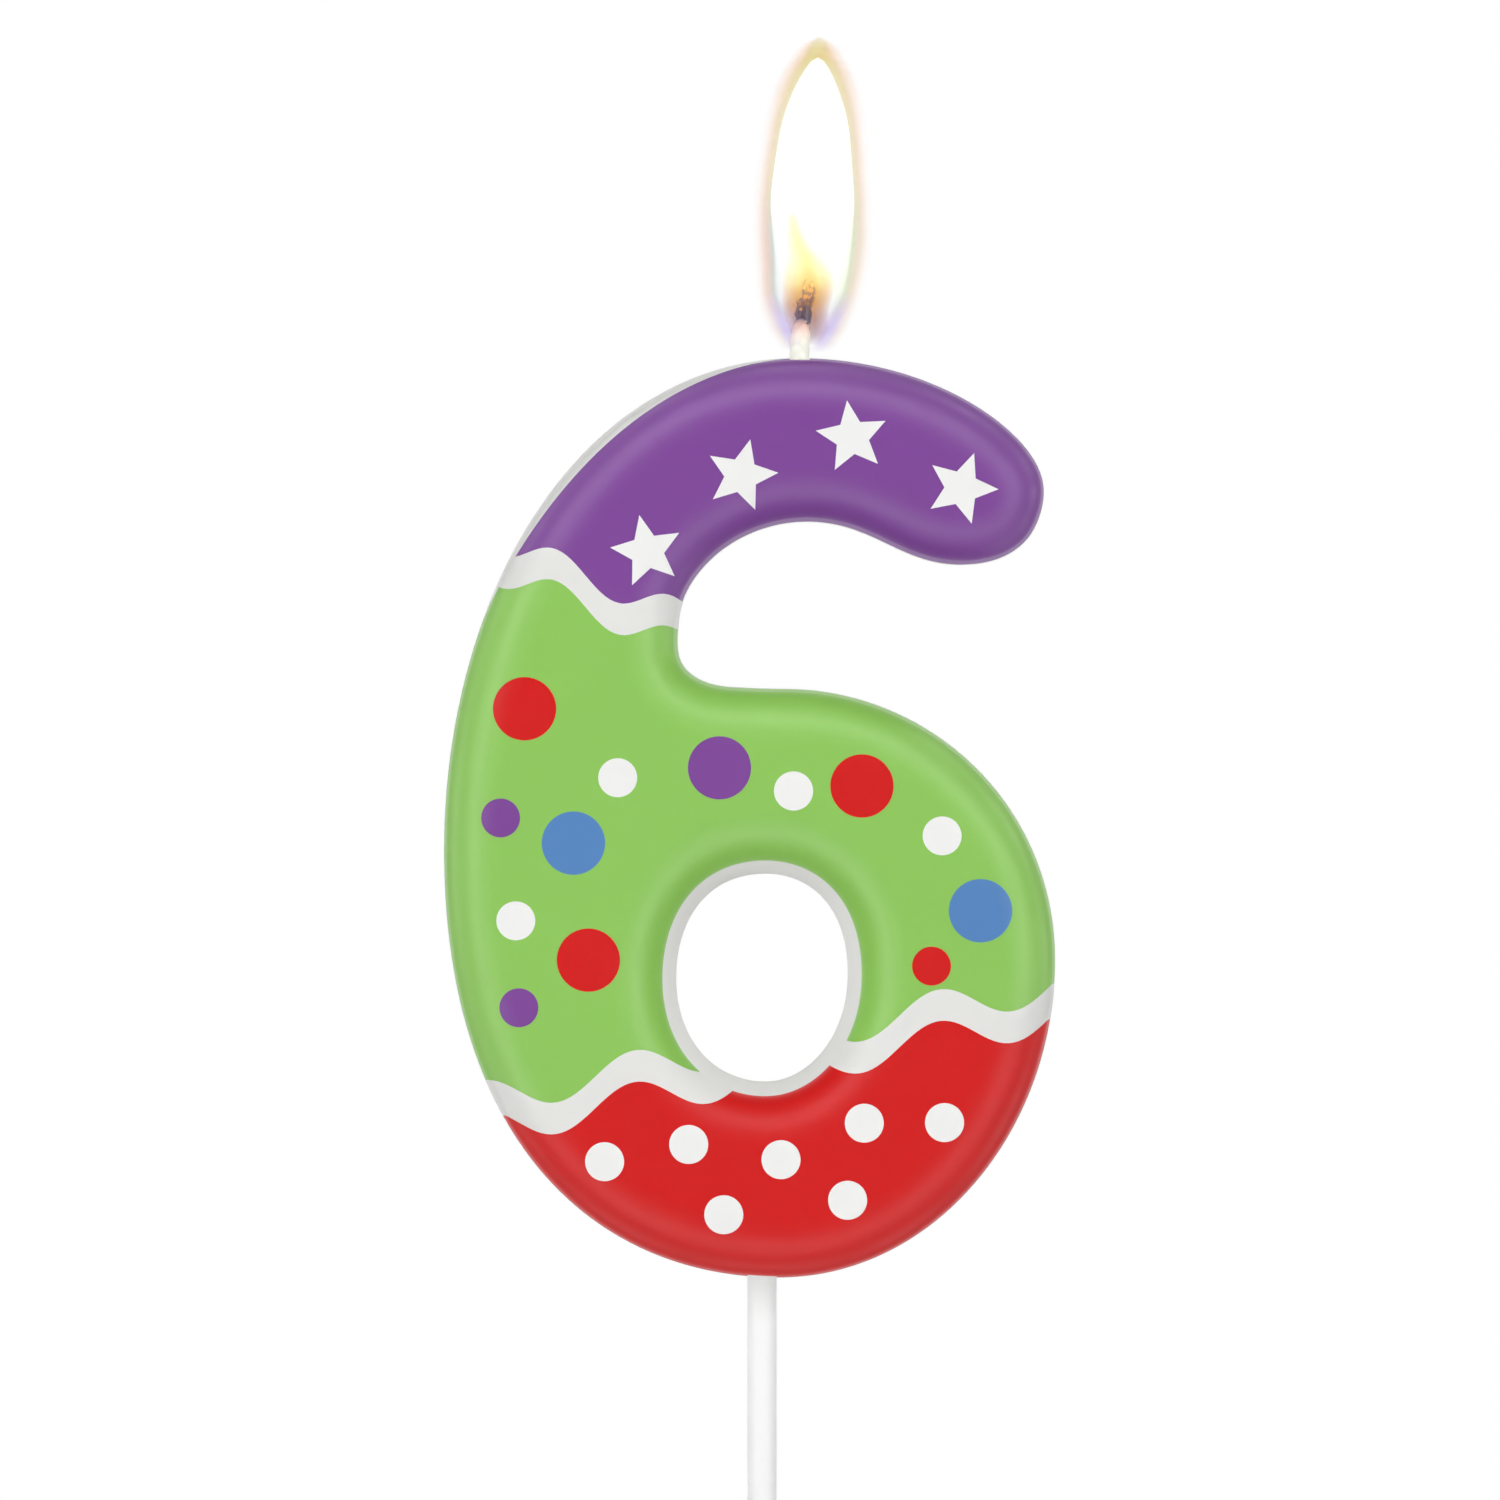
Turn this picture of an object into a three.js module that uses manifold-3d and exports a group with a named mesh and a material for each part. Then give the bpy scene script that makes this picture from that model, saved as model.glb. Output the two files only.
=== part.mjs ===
// A lit birthday candle in the shape of a six, on a thin pick for the cake.
// Millimetres: X to the right seen from the front, Z up, and the front faces -Y.
// The origin is on the pick's axis, level with the lowest point of the numeral.

import * as THREE from "three";
import { mergeVertices } from "three/addons/utils/BufferGeometryUtils.js";
import Module from "manifold-3d";

// Strokes and gaps of the numeral, from the bottom up
const baseStroke = 15.1;
const holeHeight = 19.4;
const bridgeStroke = 14.2;
const mouthHeight = 13.7;
const armStroke = 13.6;

// Strokes and hole, from the left across
const leftStroke = 18.1;
const holeWidth = 16.4;
const rightStroke = 16.05;

// Where the outline turns, from the pick's axis, the hole's middle or the stroke beside it;
// the arm's tip ends short of the bowl's right side
const crownX = 3.1;
const keelX = 1.4;
const leftBulge = 10.5;
const rightBulge = 1.5;
const bridgeX = 1.8;
const notchX = -6.9;
const notchRise = 4.9;
const archX = 3.7;
const armShortfall = 0.95;
const armTipLength = 6.9;
const lipDrop = 3.55;
const armTipRise = 6.3;
const holeLean = 0.3;
const shoulderShare = 0.12;

// Section of the wax casting
const thickness = 12;
const shoulderWidth = 4.6;
const shoulderDepth = 3.2;
const wallDraft = 0.3;
const holeDraft = 1.2;

// Coloured wax film, laid in a shallow bed
const filmThickness = 0.4;
const filmGap = 0.3;
const filmBackMargin = 2;
const seamWidth = 2.6;
const crescentWidth = 0.9;
const crescentLength = 37;

// Wavy seams of bare wax between the colours
const armSeam = { slope: -0.4, height: 1.2, length: 9.5, phase: 1.9 };
const baseSeam = { slope: 0.2, height: 1.5, length: 12.5, phase: 0.6, rise: 3.1 };

// Stars, from the arm's tip to short of its seam, and dots
const starSize = 6.1;
const starPoints = 5;
const starWaist = 0.46;
const starMargin = 0.6;
const starTilts = [-20, 8, -14, 12];
const bigDot = 5.2;
const smallDot = 3.2;
const baseDots = { count: 7, start: 230, step: 15.5, rows: [0.66, 0.35] };

// Pick, with its blind socket in the wax
const pickRadius = 1.2;
const pickReach = 50;
const pickTipLength = 4;
const socketDepth = 12;
const socketClearance = 0.1;

// Wick, from low in the left limb to its burnt end in the flame
const wickRadius = 0.78;
const wickGap = 0.3;
const wickStand = 3.2;
const burntRadius = 0.6;
const burntLength = 2.9;
const burntLean = 1;
const burntGap = 0.1;
const wickStops = [1, 0.85, 0.7, 0.55, 0.4];

// Flame
const flameLean = 1.1;
const flameBase = 1.5;
const flameHeight = 24;
const flameWaist = 11;
const flameRadius = 4.7;
const flameRimRadius = 3;
const flameGap = 0.3;

// Fineness of the faceted surfaces
const outlineSteps = 96;
const holeSteps = 32;
const shoulderSteps = 3;
const waveStep = 1.5;
const dotSides = 16;
const roundSides = 20;
const wickSides = 8;
const wickSteps = 28;
const burntSteps = 8;
const flameSteps = 8;

// How far cutting shapes reach past what they cut
const cutMargin = 1;

// Levels and edges that follow from the sizes
const holeTop = baseStroke + holeHeight;
const holeLevel = baseStroke + holeHeight / 2;
const bridgeTop = holeTop + bridgeStroke;
const archLevel = bridgeTop + mouthHeight;
const crownLevel = archLevel + armStroke;
const notchLevel = bridgeTop + notchRise;
const lipLevel = archLevel - lipDrop;
const armTipLevel = lipLevel + armTipRise;
const bowlLeft = -holeWidth / 2 - leftStroke;
const bowlRight = holeWidth / 2 + rightStroke;
const armReach = bowlRight - armShortfall;
const frontY = -thickness / 2;
const backY = thickness / 2;

const LEFT = new THREE.Vector2(-1, 0);
const RIGHT = new THREE.Vector2(1, 0);
const UP = new THREE.Vector2(0, 1);
const DOWN = new THREE.Vector2(0, -1);
const SPREADING = new THREE.Vector2(0.5, Math.sqrt(3) / 2);

const wasm = await Module();
wasm.setup();

// A point of an outline: its place, its heading, and how far the curve's handles run
// towards its neighbours, where 0.55 both ways makes a quarter of an ellipse.
function turn(x, z, heading, arriving, leaving) {
  return { at: new THREE.Vector2(x, z), heading, arriving, leaving };
}

function handle(point, other, share) {
  const run = Math.abs(other.at.clone().sub(point.at).dot(point.heading));
  return point.at.clone().addScaledVector(point.heading, run * share);
}

function drawThrough(path, turns) {
  path.moveTo(turns[0].at.x, turns[0].at.y);
  turns.slice(1).forEach((to, i) => {
    const out = handle(turns[i], to, turns[i].leaving);
    const back = handle(to, turns[i], -to.arriving);
    path.bezierCurveTo(out.x, out.y, back.x, back.y, to.at.x, to.at.y);
  });
  return path;
}

function closedCurve(turns) {
  return drawThrough(new THREE.Shape(), [...turns, turns[0]]);
}

// The outer edge of the numeral, anticlockwise from its top, with a point at each extreme
function numeralCurve() {
  return closedCurve([
    turn(crownX, crownLevel, LEFT, 0.57, 0.61),
    turn(bowlLeft, holeLevel + leftBulge, DOWN, 0.53, 0.67),
    turn(keelX, 0, RIGHT, 0.56, 0.56),
    turn(bowlRight, holeLevel + rightBulge, UP, 0.54, 0.57),
    turn(bridgeX, bridgeTop, LEFT, 0.54, 0.95),
    turn(notchX, notchLevel, UP, 0.79, 0.51),
    turn(archX, archLevel, RIGHT, 0.54, 0.43),
    turn(armReach - armTipLength, lipLevel, RIGHT, 0.4, 0.68),
    turn(armReach, armTipLevel, UP, 0.58, 0.39),
  ]);
}

// The hole's edge on the front, an egg with its narrow end up
function holeCurve() {
  return closedCurve([
    turn(holeLean, holeTop, LEFT, 0.5, 0.64),
    turn(-holeWidth / 2, holeLevel, DOWN, 0.56, 0.61),
    turn(holeLean, baseStroke, RIGHT, 0.56, 0.51),
    turn(holeWidth / 2, holeLevel + holeLean, UP, 0.59, 0.7),
  ]);
}

const outline = numeralCurve().getSpacedPoints(outlineSteps).slice(0, -1);
const holeEdge = holeCurve().getSpacedPoints(holeSteps).slice(0, -1);
const outlineLength = numeralCurve().getLength();

// An anticlockwise loop with each point moved inwards by distance(index)
function insetBy(loop, distance) {
  return loop.map((point, i) => {
    const before = point.clone().sub(loop.at(i - 1));
    const after = loop[(i + 1) % loop.length].clone().sub(point);
    const along = before
      .clone()
      .multiplyScalar(after.length() / before.length())
      .addScaledVector(after, before.length() / after.length())
      .normalize();
    const inward = new THREE.Vector2(-along.y, along.x);
    return point.clone().addScaledVector(inward, distance(i));
  });
}

function inset(loop, distance) {
  return insetBy(loop, () => distance);
}

// Sections of the casting from back to front, a given depth under its surface: how far
// the outline and the hole's edge have moved into the wax at each place along Y
function sections(depth) {
  const wallEnd = frontY + shoulderDepth;
  const back = depth > 0 ? backY + cutMargin : backY;
  const rows = [
    { y: back, outer: depth, hole: depth - holeDraft },
    { y: wallEnd, outer: wallDraft + depth, hole: depth },
  ];
  for (let step = 1; step <= shoulderSteps; step++) {
    const angle = (Math.PI / 2) * (step / shoulderSteps);
    const normal = new THREE.Vector2(
      shoulderDepth * Math.cos(angle),
      shoulderWidth * Math.sin(angle),
    ).normalize();
    const across = shoulderWidth * (1 - Math.cos(angle)) + depth * normal.x;
    rows.push({
      y: wallEnd - shoulderDepth * Math.sin(angle) + depth * normal.y,
      outer: wallDraft + across,
      hole: across,
    });
  }
  return rows;
}

// The closed surface through the sections
function castingGeometry(depth) {
  const rows = sections(depth).map(({ y, outer, hole }) => ({
    y,
    outer: inset(outline, outer),
    hole: inset(holeEdge, -hole),
  }));
  const size = outline.length + holeEdge.length;
  const positions = rows.flatMap(({ y, outer, hole }) =>
    [...outer, ...hole].flatMap((p) => [p.x, y, p.y]),
  );
  const faces = [];
  const stitch = (start, count, flip) => {
    for (let row = 0; row < rows.length - 1; row++) {
      for (let i = 0; i < count; i++) {
        const [a, b] = [start + i, start + ((i + 1) % count)].map((n) => n + row * size);
        const quad = [a, b, b + size, a, b + size, a + size];
        faces.push(...(flip ? quad.reverse() : quad));
      }
    }
  };
  stitch(0, outline.length, false);
  stitch(outline.length, holeEdge.length, true);
  const cap = (row) =>
    THREE.ShapeUtils.triangulateShape(rows[row].outer, [rows[row].hole]).map((face) =>
      face.map((n) => n + row * size),
    );
  faces.push(...cap(rows.length - 1).flat());
  faces.push(...cap(0).flatMap((face) => face.reverse()));
  return new THREE.BufferGeometry()
    .setAttribute("position", new THREE.Float32BufferAttribute(positions, 3))
    .setIndex(faces);
}

// A straight prism along Y, over a shape drawn in the plane of the numeral
function prismGeometry(shape, back, front) {
  return new THREE.ExtrudeGeometry(shape, {
    depth: back - front,
    bevelEnabled: false,
    curveSegments: dotSides / 2,
  })
    .rotateX(Math.PI / 2)
    .translate(0, back, 0);
}

function solidOf(geometry) {
  const bare = geometry.clone();
  bare.deleteAttribute("normal");
  bare.deleteAttribute("uv");
  const merged = mergeVertices(bare);
  const mesh = new wasm.Mesh({
    numProp: 3,
    vertProperties: merged.getAttribute("position").array,
    triVerts: new Uint32Array(merged.index.array),
  });
  return new wasm.Manifold(mesh);
}

function geometryOf(solid) {
  const { vertProperties, triVerts } = solid.getMesh();
  const geometry = new THREE.BufferGeometry()
    .setAttribute("position", new THREE.BufferAttribute(vertProperties, 3))
    .setIndex([...triVerts])
    .toNonIndexed();
  geometry.computeVertexNormals();
  return geometry;
}

function prism(shape, back = backY + cutMargin, front = frontY - cutMargin) {
  return solidOf(prismGeometry(shape, back, front));
}

// What lies between two depths under the casting's surface
function layer(from, to) {
  return solidOf(castingGeometry(from)).subtract(solidOf(castingGeometry(to)));
}

// Where the film lies, seen from the front: all of the numeral but a crescent of bare
// wax at the upper left, with its edge at the hole's edge, widened by a gap
function filmArea(gap) {
  const swell = crescentWidth + cutMargin;
  const crossing = Math.acos(cutMargin / swell);
  const margin = (i) => {
    const run = (((i / outline.length + 0.5) % 1) - 0.5) * outlineLength;
    const angle = crossing * ((2 * run) / crescentLength - 1);
    return swell * Math.cos(THREE.MathUtils.clamp(angle, -Math.PI / 2, Math.PI / 2)) - cutMargin - gap;
  };
  const area = new THREE.Shape(insetBy(outline, margin));
  area.holes.push(new THREE.Path(inset(holeEdge, gap)));
  return prism(area, backY - filmBackMargin + gap);
}

// A wavy line through a point, from one X to another, shifted along Z
function wave(seam, through, from, to, shift) {
  const count = Math.ceil((to - from) / waveStep);
  return Array.from({ length: count + 1 }, (_, i) => {
    const run = from + ((to - from) * i) / count - through.x;
    const swing = seam.height * Math.sin((2 * Math.PI * run) / seam.length + seam.phase);
    return new THREE.Vector2(through.x + run, through.y + seam.slope * run + swing + shift);
  });
}

// The three colour zones, seen from the front, each widened by a gap
function zoneShapes(gap) {
  const half = seamWidth / 2 - gap;
  const [west, east] = [bowlLeft - cutMargin, Math.max(bowlRight, armReach) + cutMargin];
  const [floor, sky] = [-cutMargin, crownLevel + cutMargin];
  const notch = new THREE.Vector2(notchX, notchLevel);
  const base = new THREE.Vector2(0, baseStroke + baseSeam.rise);
  const mouthX = (notchX + archX) / 2;
  const arm = (shift) => wave(armSeam, notch, west, mouthX, shift);
  const bowl = (shift) => wave(baseSeam, base, west, east, shift);
  const corner = (x, z) => new THREE.Vector2(x, z);
  const mouth = corner(east, notchLevel);
  return {
    arm: new THREE.Shape([...arm(half), mouth, corner(east, sky), corner(west, sky)]),
    middle: new THREE.Shape([...bowl(half), mouth, ...arm(-half).reverse()]),
    base: new THREE.Shape([corner(west, floor), corner(east, floor), ...bowl(-half).reverse()]),
  };
}

// Places along the middle of the stroke, from the arm's tip to beside the notch, and on
// down the left limb to the base
function strokeMiddle() {
  const shoulder = outline[Math.round(outlineSteps * shoulderShare)];
  const notch = new THREE.Vector2(notchX, notchLevel);
  const limbX = -(holeWidth + leftStroke) / 2;
  const arm = [
    new THREE.Vector2(armReach - armTipLength, armTipLevel),
    new THREE.Vector2(archX, crownLevel - armStroke / 2),
    shoulder.clone().lerp(notch, 0.5),
  ];
  const limb = [
    new THREE.Vector2(limbX, holeLevel + leftBulge),
    new THREE.Vector2(limbX, holeLevel),
    new THREE.Vector2(limbX / 2 - pickRadius, baseStroke / 2),
  ];
  return { arm, limb };
}

// The outline of a star or a dot, widened by a gap
function motifShape({ x, z, size, tilt }, gap) {
  const radius = size / 2 + gap;
  if (tilt === undefined) {
    return new THREE.Shape().absarc(x, z, radius, 0, 2 * Math.PI);
  }
  const corners = Array.from({ length: 2 * starPoints }, (_, i) => {
    const reach = i % 2 ? (starWaist * size) / 2 + gap : radius + gap;
    const angle = Math.PI / 2 + (i * Math.PI) / starPoints + THREE.MathUtils.degToRad(tilt);
    return new THREE.Vector2(x + reach * Math.cos(angle), z + reach * Math.sin(angle));
  });
  return new THREE.Shape(corners);
}

// Stars evenly spaced along the arm's middle line
function stars() {
  const line = new THREE.SplineCurve(strokeMiddle().arm);
  const stop = starMargin + starSize / 2 + armSeam.height + seamWidth / 2;
  const lastShare = 1 - stop / line.getLength();
  return starTilts.map((tilt, i) => {
    const { x, y } = line.getPointAt((lastShare * i) / (starTilts.length - 1));
    return { name: `star_${i + 1}`, colour: "white", x, z: y, size: starSize, tilt };
  });
}

// A spot at an angle about the hole, a share of the way across the stroke there
function spot(name, [degrees, across, size, colour]) {
  const angle = THREE.MathUtils.degToRad(degrees);
  const strokeX = Math.cos(angle) > 0 ? rightStroke : leftStroke;
  const strokeZ = Math.sin(angle) > 0 ? bridgeStroke : baseStroke;
  const x = (holeWidth / 2 + strokeX * across) * Math.cos(angle);
  const z = holeLevel + (holeHeight / 2 + strokeZ * across) * Math.sin(angle);
  return { name, colour, x, z, size };
}

// Dots scattered over the middle zone, from the right limb round to the left one
function confetti() {
  return [
    [4, 0.36, smallDot, "red"],
    [17, 0.66, bigDot, "blue"],
    [38, 0.66, smallDot, "white"],
    [62, 0.58, bigDot, "red"],
    [80, 0.42, smallDot, "white"],
    [101, 0.56, bigDot, "purple"],
    [124, 0.72, smallDot, "white"],
    [128, 1.3, bigDot, "red"],
    [143, 0.62, bigDot, "blue"],
    [146, 0.98, smallDot, "purple"],
    [166, 0.7, smallDot, "white"],
    [174, 0.34, bigDot, "red"],
    [187, 0.66, smallDot, "purple"],
  ].map((row, i) => spot(`dot_${i + 1}`, row));
}

// Two staggered rows of white dots on the base
function baseConfetti() {
  const { count, start, step, rows } = baseDots;
  return Array.from({ length: count }, (_, i) =>
    spot(`base_dot_${i + 1}`, [start + step * i, rows[i % 2], smallDot, "white"]),
  );
}

// A stretch of a curve, between two shares of its length
class Stretch extends THREE.Curve {
  constructor(curve, from, to) {
    super();
    Object.assign(this, { curve, from, to });
  }

  getPoint(share) {
    return this.curve.getPointAt(THREE.MathUtils.lerp(this.from, this.to, share));
  }
}

// The wick's channel, from the low end of the stroke's middle line to above the crown
function channelRoute() {
  const { arm, limb } = strokeMiddle();
  const line = new THREE.SplineCurve([...arm, ...limb]);
  const inWax = wickStops.map((share) => line.getPointAt(share));
  const bend = new THREE.Vector2(crownX, crownLevel - armStroke / 4);
  const brim = new THREE.Vector2(crownX, crownLevel);
  const top = new THREE.Vector2(crownX, crownLevel + wickStand);
  const points = [...inWax, bend, brim, top].map((p) => new THREE.Vector3(p.x, 0, p.y));
  return new THREE.CatmullRomCurve3(points);
}

function tubeGeometry(route, radius, steps) {
  return new THREE.ExtrudeGeometry(new THREE.Shape().absarc(0, 0, radius, 0, 2 * Math.PI), {
    steps,
    extrudePath: route,
    curveSegments: wickSides / 2,
  });
}

// A body turned about an upright axis, from pairs of radius and height
function turnedGeometry(profile) {
  const points = profile.map(([radius, z]) => new THREE.Vector2(radius, z));
  return new THREE.LatheGeometry(points, roundSides).rotateX(Math.PI / 2);
}

function pickGeometry() {
  const chamfer = pickRadius / 4;
  return turnedGeometry([
    [0, -pickReach],
    [pickRadius, pickTipLength - pickReach],
    [pickRadius, socketDepth - chamfer],
    [pickRadius - chamfer, socketDepth],
    [0, socketDepth],
  ]);
}

function socketGeometry() {
  const radius = pickRadius + socketClearance;
  return turnedGeometry([
    [0, -socketDepth],
    [radius, -socketDepth],
    [radius, socketDepth],
    [0, socketDepth],
  ]);
}

// The charred end, curling over towards the middle of the flame
function burntWickGeometry() {
  const foot = crownLevel + wickStand + burntGap;
  const points = [
    [0, 0],
    [0, 0.35],
    [0.5, 0.7],
    [1, 1],
  ].map(([lean, rise]) => new THREE.Vector3(crownX + burntLean * lean, 0, foot + burntLength * rise));
  return tubeGeometry(new THREE.CatmullRomCurve3(points), burntRadius, burntSteps);
}

// The flame, hollow below where the wick stands in it
function flameGeometry() {
  const foot = crownLevel + flameBase;
  const hollowRadius = flameLean + wickRadius + flameGap;
  const hollowTop = crownLevel + wickStand + burntGap + burntLength + burntRadius + flameGap;
  const side = drawThrough(new THREE.Path(), [
    turn(flameRimRadius, foot, SPREADING, 0, 0.45),
    turn(flameRadius, foot + flameWaist, UP, 0.5, 0.62),
    turn(0, foot + flameHeight, LEFT, 0.6, 0),
  ]).getPoints(flameSteps);
  return turnedGeometry([
    [0, hollowTop],
    [hollowRadius, hollowTop - flameGap],
    [hollowRadius, foot],
    ...side.map((p) => [p.x, p.y]),
  ]).translate(crownX + flameLean, 0, 0);
}

const channel = solidOf(tubeGeometry(channelRoute(), wickRadius + wickGap, wickSteps));
const socket = solidOf(socketGeometry());
const film = layer(0, filmThickness).intersect(filmArea(0));
const bed = layer(-1, filmThickness + filmGap).intersect(filmArea(filmGap));
const zones = zoneShapes(0);
const bedZones = zoneShapes(filmGap);
const decorations = { arm: stars(), middle: confetti(), base: baseConfetti() };

function waxBody() {
  let wax = solidOf(castingGeometry(0)).subtract(channel).subtract(socket);
  for (const shape of Object.values(bedZones)) {
    wax = wax.subtract(bed.intersect(prism(shape)));
  }
  return wax;
}

// The film of one zone, with an opening for each star or dot let into it
function filmPanel(zone) {
  let panel = film.intersect(prism(zones[zone])).subtract(channel).subtract(socket);
  for (const motif of decorations[zone]) {
    panel = panel.subtract(prism(motifShape(motif, filmGap)));
  }
  return panel;
}

const waxColours = {
  white: 0xf1f1ee,
  purple: 0x83509c,
  green: 0x90c962,
  red: 0xd62828,
  blue: 0x5888c4,
};
const waxRoughness = 0.35;
const cotton = { color: 0xece7da, roughness: 0.8 };
const char = { color: 0x2b201b, roughness: 0.95 };
const fire = { color: 0xfff1b8, emissive: 0xffd35a, transparent: true, opacity: 0.6 };
const plastic = { color: 0xf4f4f6, roughness: 0.3 };

function piece(name, geometry, look) {
  const mesh = new THREE.Mesh(geometry, new THREE.MeshStandardMaterial(look));
  mesh.name = name;
  return mesh;
}

function waxPiece(name, solid, colour) {
  return piece(name, geometryOf(solid), { color: waxColours[colour], roughness: waxRoughness });
}

const numeral = new THREE.Group();
numeral.add(waxPiece("wax_body", waxBody(), "white"));
numeral.add(waxPiece("arm_film", filmPanel("arm"), "purple"));
numeral.add(waxPiece("middle_film", filmPanel("middle"), "green"));
numeral.add(waxPiece("base_film", filmPanel("base"), "red"));
for (const motif of Object.values(decorations).flat()) {
  const solid = film.intersect(prism(motifShape(motif, 0)));
  numeral.add(waxPiece(motif.name, solid, motif.colour));
}

const lowEnd = wickGap / channelRoute().getLength();
const wickRoute = new Stretch(channelRoute(), lowEnd, 1);
numeral.add(piece("wick", tubeGeometry(wickRoute, wickRadius, wickSteps), cotton));
numeral.add(piece("burnt_wick_end", burntWickGeometry(), char));
numeral.add(piece("flame", flameGeometry(), fire));

const candle = new THREE.Group();
candle.add(piece("pick", pickGeometry(), plastic));
candle.add(numeral);
export default candle;
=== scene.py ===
import math
from collections import Counter, defaultdict

import bpy
import numpy as np
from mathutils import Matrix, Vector, geometry


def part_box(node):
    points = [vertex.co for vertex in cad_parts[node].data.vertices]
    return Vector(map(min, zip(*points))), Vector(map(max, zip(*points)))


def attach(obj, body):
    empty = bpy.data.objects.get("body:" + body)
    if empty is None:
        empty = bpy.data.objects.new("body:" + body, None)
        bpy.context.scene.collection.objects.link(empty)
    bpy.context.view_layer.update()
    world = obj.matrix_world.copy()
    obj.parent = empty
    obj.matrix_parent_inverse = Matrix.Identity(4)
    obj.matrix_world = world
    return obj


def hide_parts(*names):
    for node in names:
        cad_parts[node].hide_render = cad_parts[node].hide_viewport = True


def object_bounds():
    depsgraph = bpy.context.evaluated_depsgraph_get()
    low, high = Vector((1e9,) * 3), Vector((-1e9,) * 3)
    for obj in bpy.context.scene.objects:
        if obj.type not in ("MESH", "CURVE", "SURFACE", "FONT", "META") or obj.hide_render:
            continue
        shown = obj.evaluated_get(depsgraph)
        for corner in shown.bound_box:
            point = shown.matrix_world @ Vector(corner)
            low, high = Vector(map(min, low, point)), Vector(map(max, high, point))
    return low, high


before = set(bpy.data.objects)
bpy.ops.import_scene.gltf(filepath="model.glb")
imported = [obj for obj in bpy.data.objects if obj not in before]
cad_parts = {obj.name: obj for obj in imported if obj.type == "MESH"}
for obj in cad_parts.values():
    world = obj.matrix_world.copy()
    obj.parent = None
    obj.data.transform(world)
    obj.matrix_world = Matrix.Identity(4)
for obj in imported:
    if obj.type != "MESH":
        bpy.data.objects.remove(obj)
cad_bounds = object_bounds()

# Lengths are in millimetres; MM turns them into the frame's metres.
# Drawings of the numeral's face hold pairs of X and Z.
MM = 0.001

# Section of the casting
SHOULDER_WIDTH = 4.6
SHOULDER_DEPTH = 3.2
WALL_DRAFT = 0.3
HOLE_DRAFT = 1.2
BACK_ROUNDING = 0.6

# Coloured wax film on the casting; FILM_ROWS are the rows of the wall's mesh that it covers
FILM_THICKNESS = 0.25
FILM_BACK_MARGIN = 2
FILM_ROWS = 2
CREASE_WIDTH = 0.15
SEAM_WIDTH = 2.6
CRESCENT_WIDTH = 0.9
CRESCENT_LENGTH = 37
ARM_SEAM = {"through": (-6.9, 53.6), "slope": -0.4, "height": 1.2, "length": 9.5, "phase": 1.9}
BASE_SEAM = {"through": (0, 18.2), "slope": 0.2, "height": 1.5, "length": 12.5, "phase": 0.6}
MOUTH_X = -1.6
STAR_POINTS = 5
STAR_WAIST = 0.46

# Fineness of the meshes
OUTLINE_POINTS = 520
HOLE_POINTS = 180
CRESCENT_POINTS = 130
SHOULDER_RINGS = 12
BACK_ROUNDING_STEPS = 4
WAVE_STEP = 0.4
WAVE_MARGIN = 1
GRID_STEP = 1.1
DOT_POINTS = 48
STAR_EDGE_POINTS = 6
LOOP_SPLINE_STEPS = 24
LINE_SPLINE_STEPS = 30
POINTS_AT_ONCE = 500
CAD_TOLERANCE = 1e-3
DRAWING_TOLERANCE = 1e-5

# Pick; its tip is drawn in pairs of a share of the radius and a height above the point
PICK_TIP = [(0.12, 0), (0.22, 0.15), (0.9, 3.8), (1, 4.4)]
PICK_RIM = 0.25
PICK_RIM_POINTS = 6
PICK_SIDES = 64

# Wick: the route of its middle, from low in the left limb to above the crown
WICK_ROUTE = [
    (-9.82, 7.55),
    (-15.25, 19.38),
    (-17.66, 31.96),
    (-16.85, 44.94),
    (-13.27, 57.25),
    (3.1, 72.6),
    (3.1, 76),
    (3.12, 77.6),
    (3.35, 79.1),
]
WICK_STEPS = 400
WICK_TAPER = (77.9, 79.1)
WICK_TIP_SHARE = 0.68
BRAID_PITCH = 3.4
BRAID_WIDTH = 0.24
BRAID_DEPTH = 0.1
STRAND_COUNT = 3
STRAND_RADIUS = 0.6
STRAND_SIDES = 12

# Charred end of the wick: groups of lines in X, Y and Z, with their radius at each end
CHARRED_STUMP = [
    [(3.12, 0, 78.8), (3.05, -0.1, 79.3), (3.2, -0.1, 79.8)],
    [(3.4, 0.15, 78.7), (3.42, 0.1, 79.4), (3.5, 0.05, 80.2)],
    [(3.62, -0.15, 78.7), (3.68, -0.15, 79.3), (3.72, -0.1, 80.3)],
    [(3.75, 0.05, 78.8), (3.9, 0, 79.4), (3.88, 0, 80.1)],
    [(3.12, -0.2, 80.15), (3.22, -0.3, 80.55), (3.55, -0.3, 80.7)],
]
CHARRED_CURLS = [
    [(3.05, -0.2, 78.9), (2.88, -0.25, 79.4), (2.95, -0.3, 80.0), (3.2, -0.3, 80.35)],
    [(3.2, -0.2, 80.1), (3.1, -0.3, 80.5), (3.32, -0.35, 80.8), (3.58, -0.3, 80.6), (3.5, -0.2, 80.25)],
    [(3.85, -0.1, 79.9), (4.1, -0.1, 80.6), (4.28, -0.15, 81.2), (4.25, -0.2, 81.7), (4.0, -0.2, 82.1)],
    [(3.6, -0.1, 80.1), (3.5, -0.2, 80.8), (3.42, -0.25, 81.4), (3.58, -0.25, 81.9)],
    [(3.7, -0.2, 80.5), (3.98, -0.28, 80.9), (3.86, -0.3, 81.3), (3.58, -0.3, 81.1), (3.75, -0.2, 80.7)],
]
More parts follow.
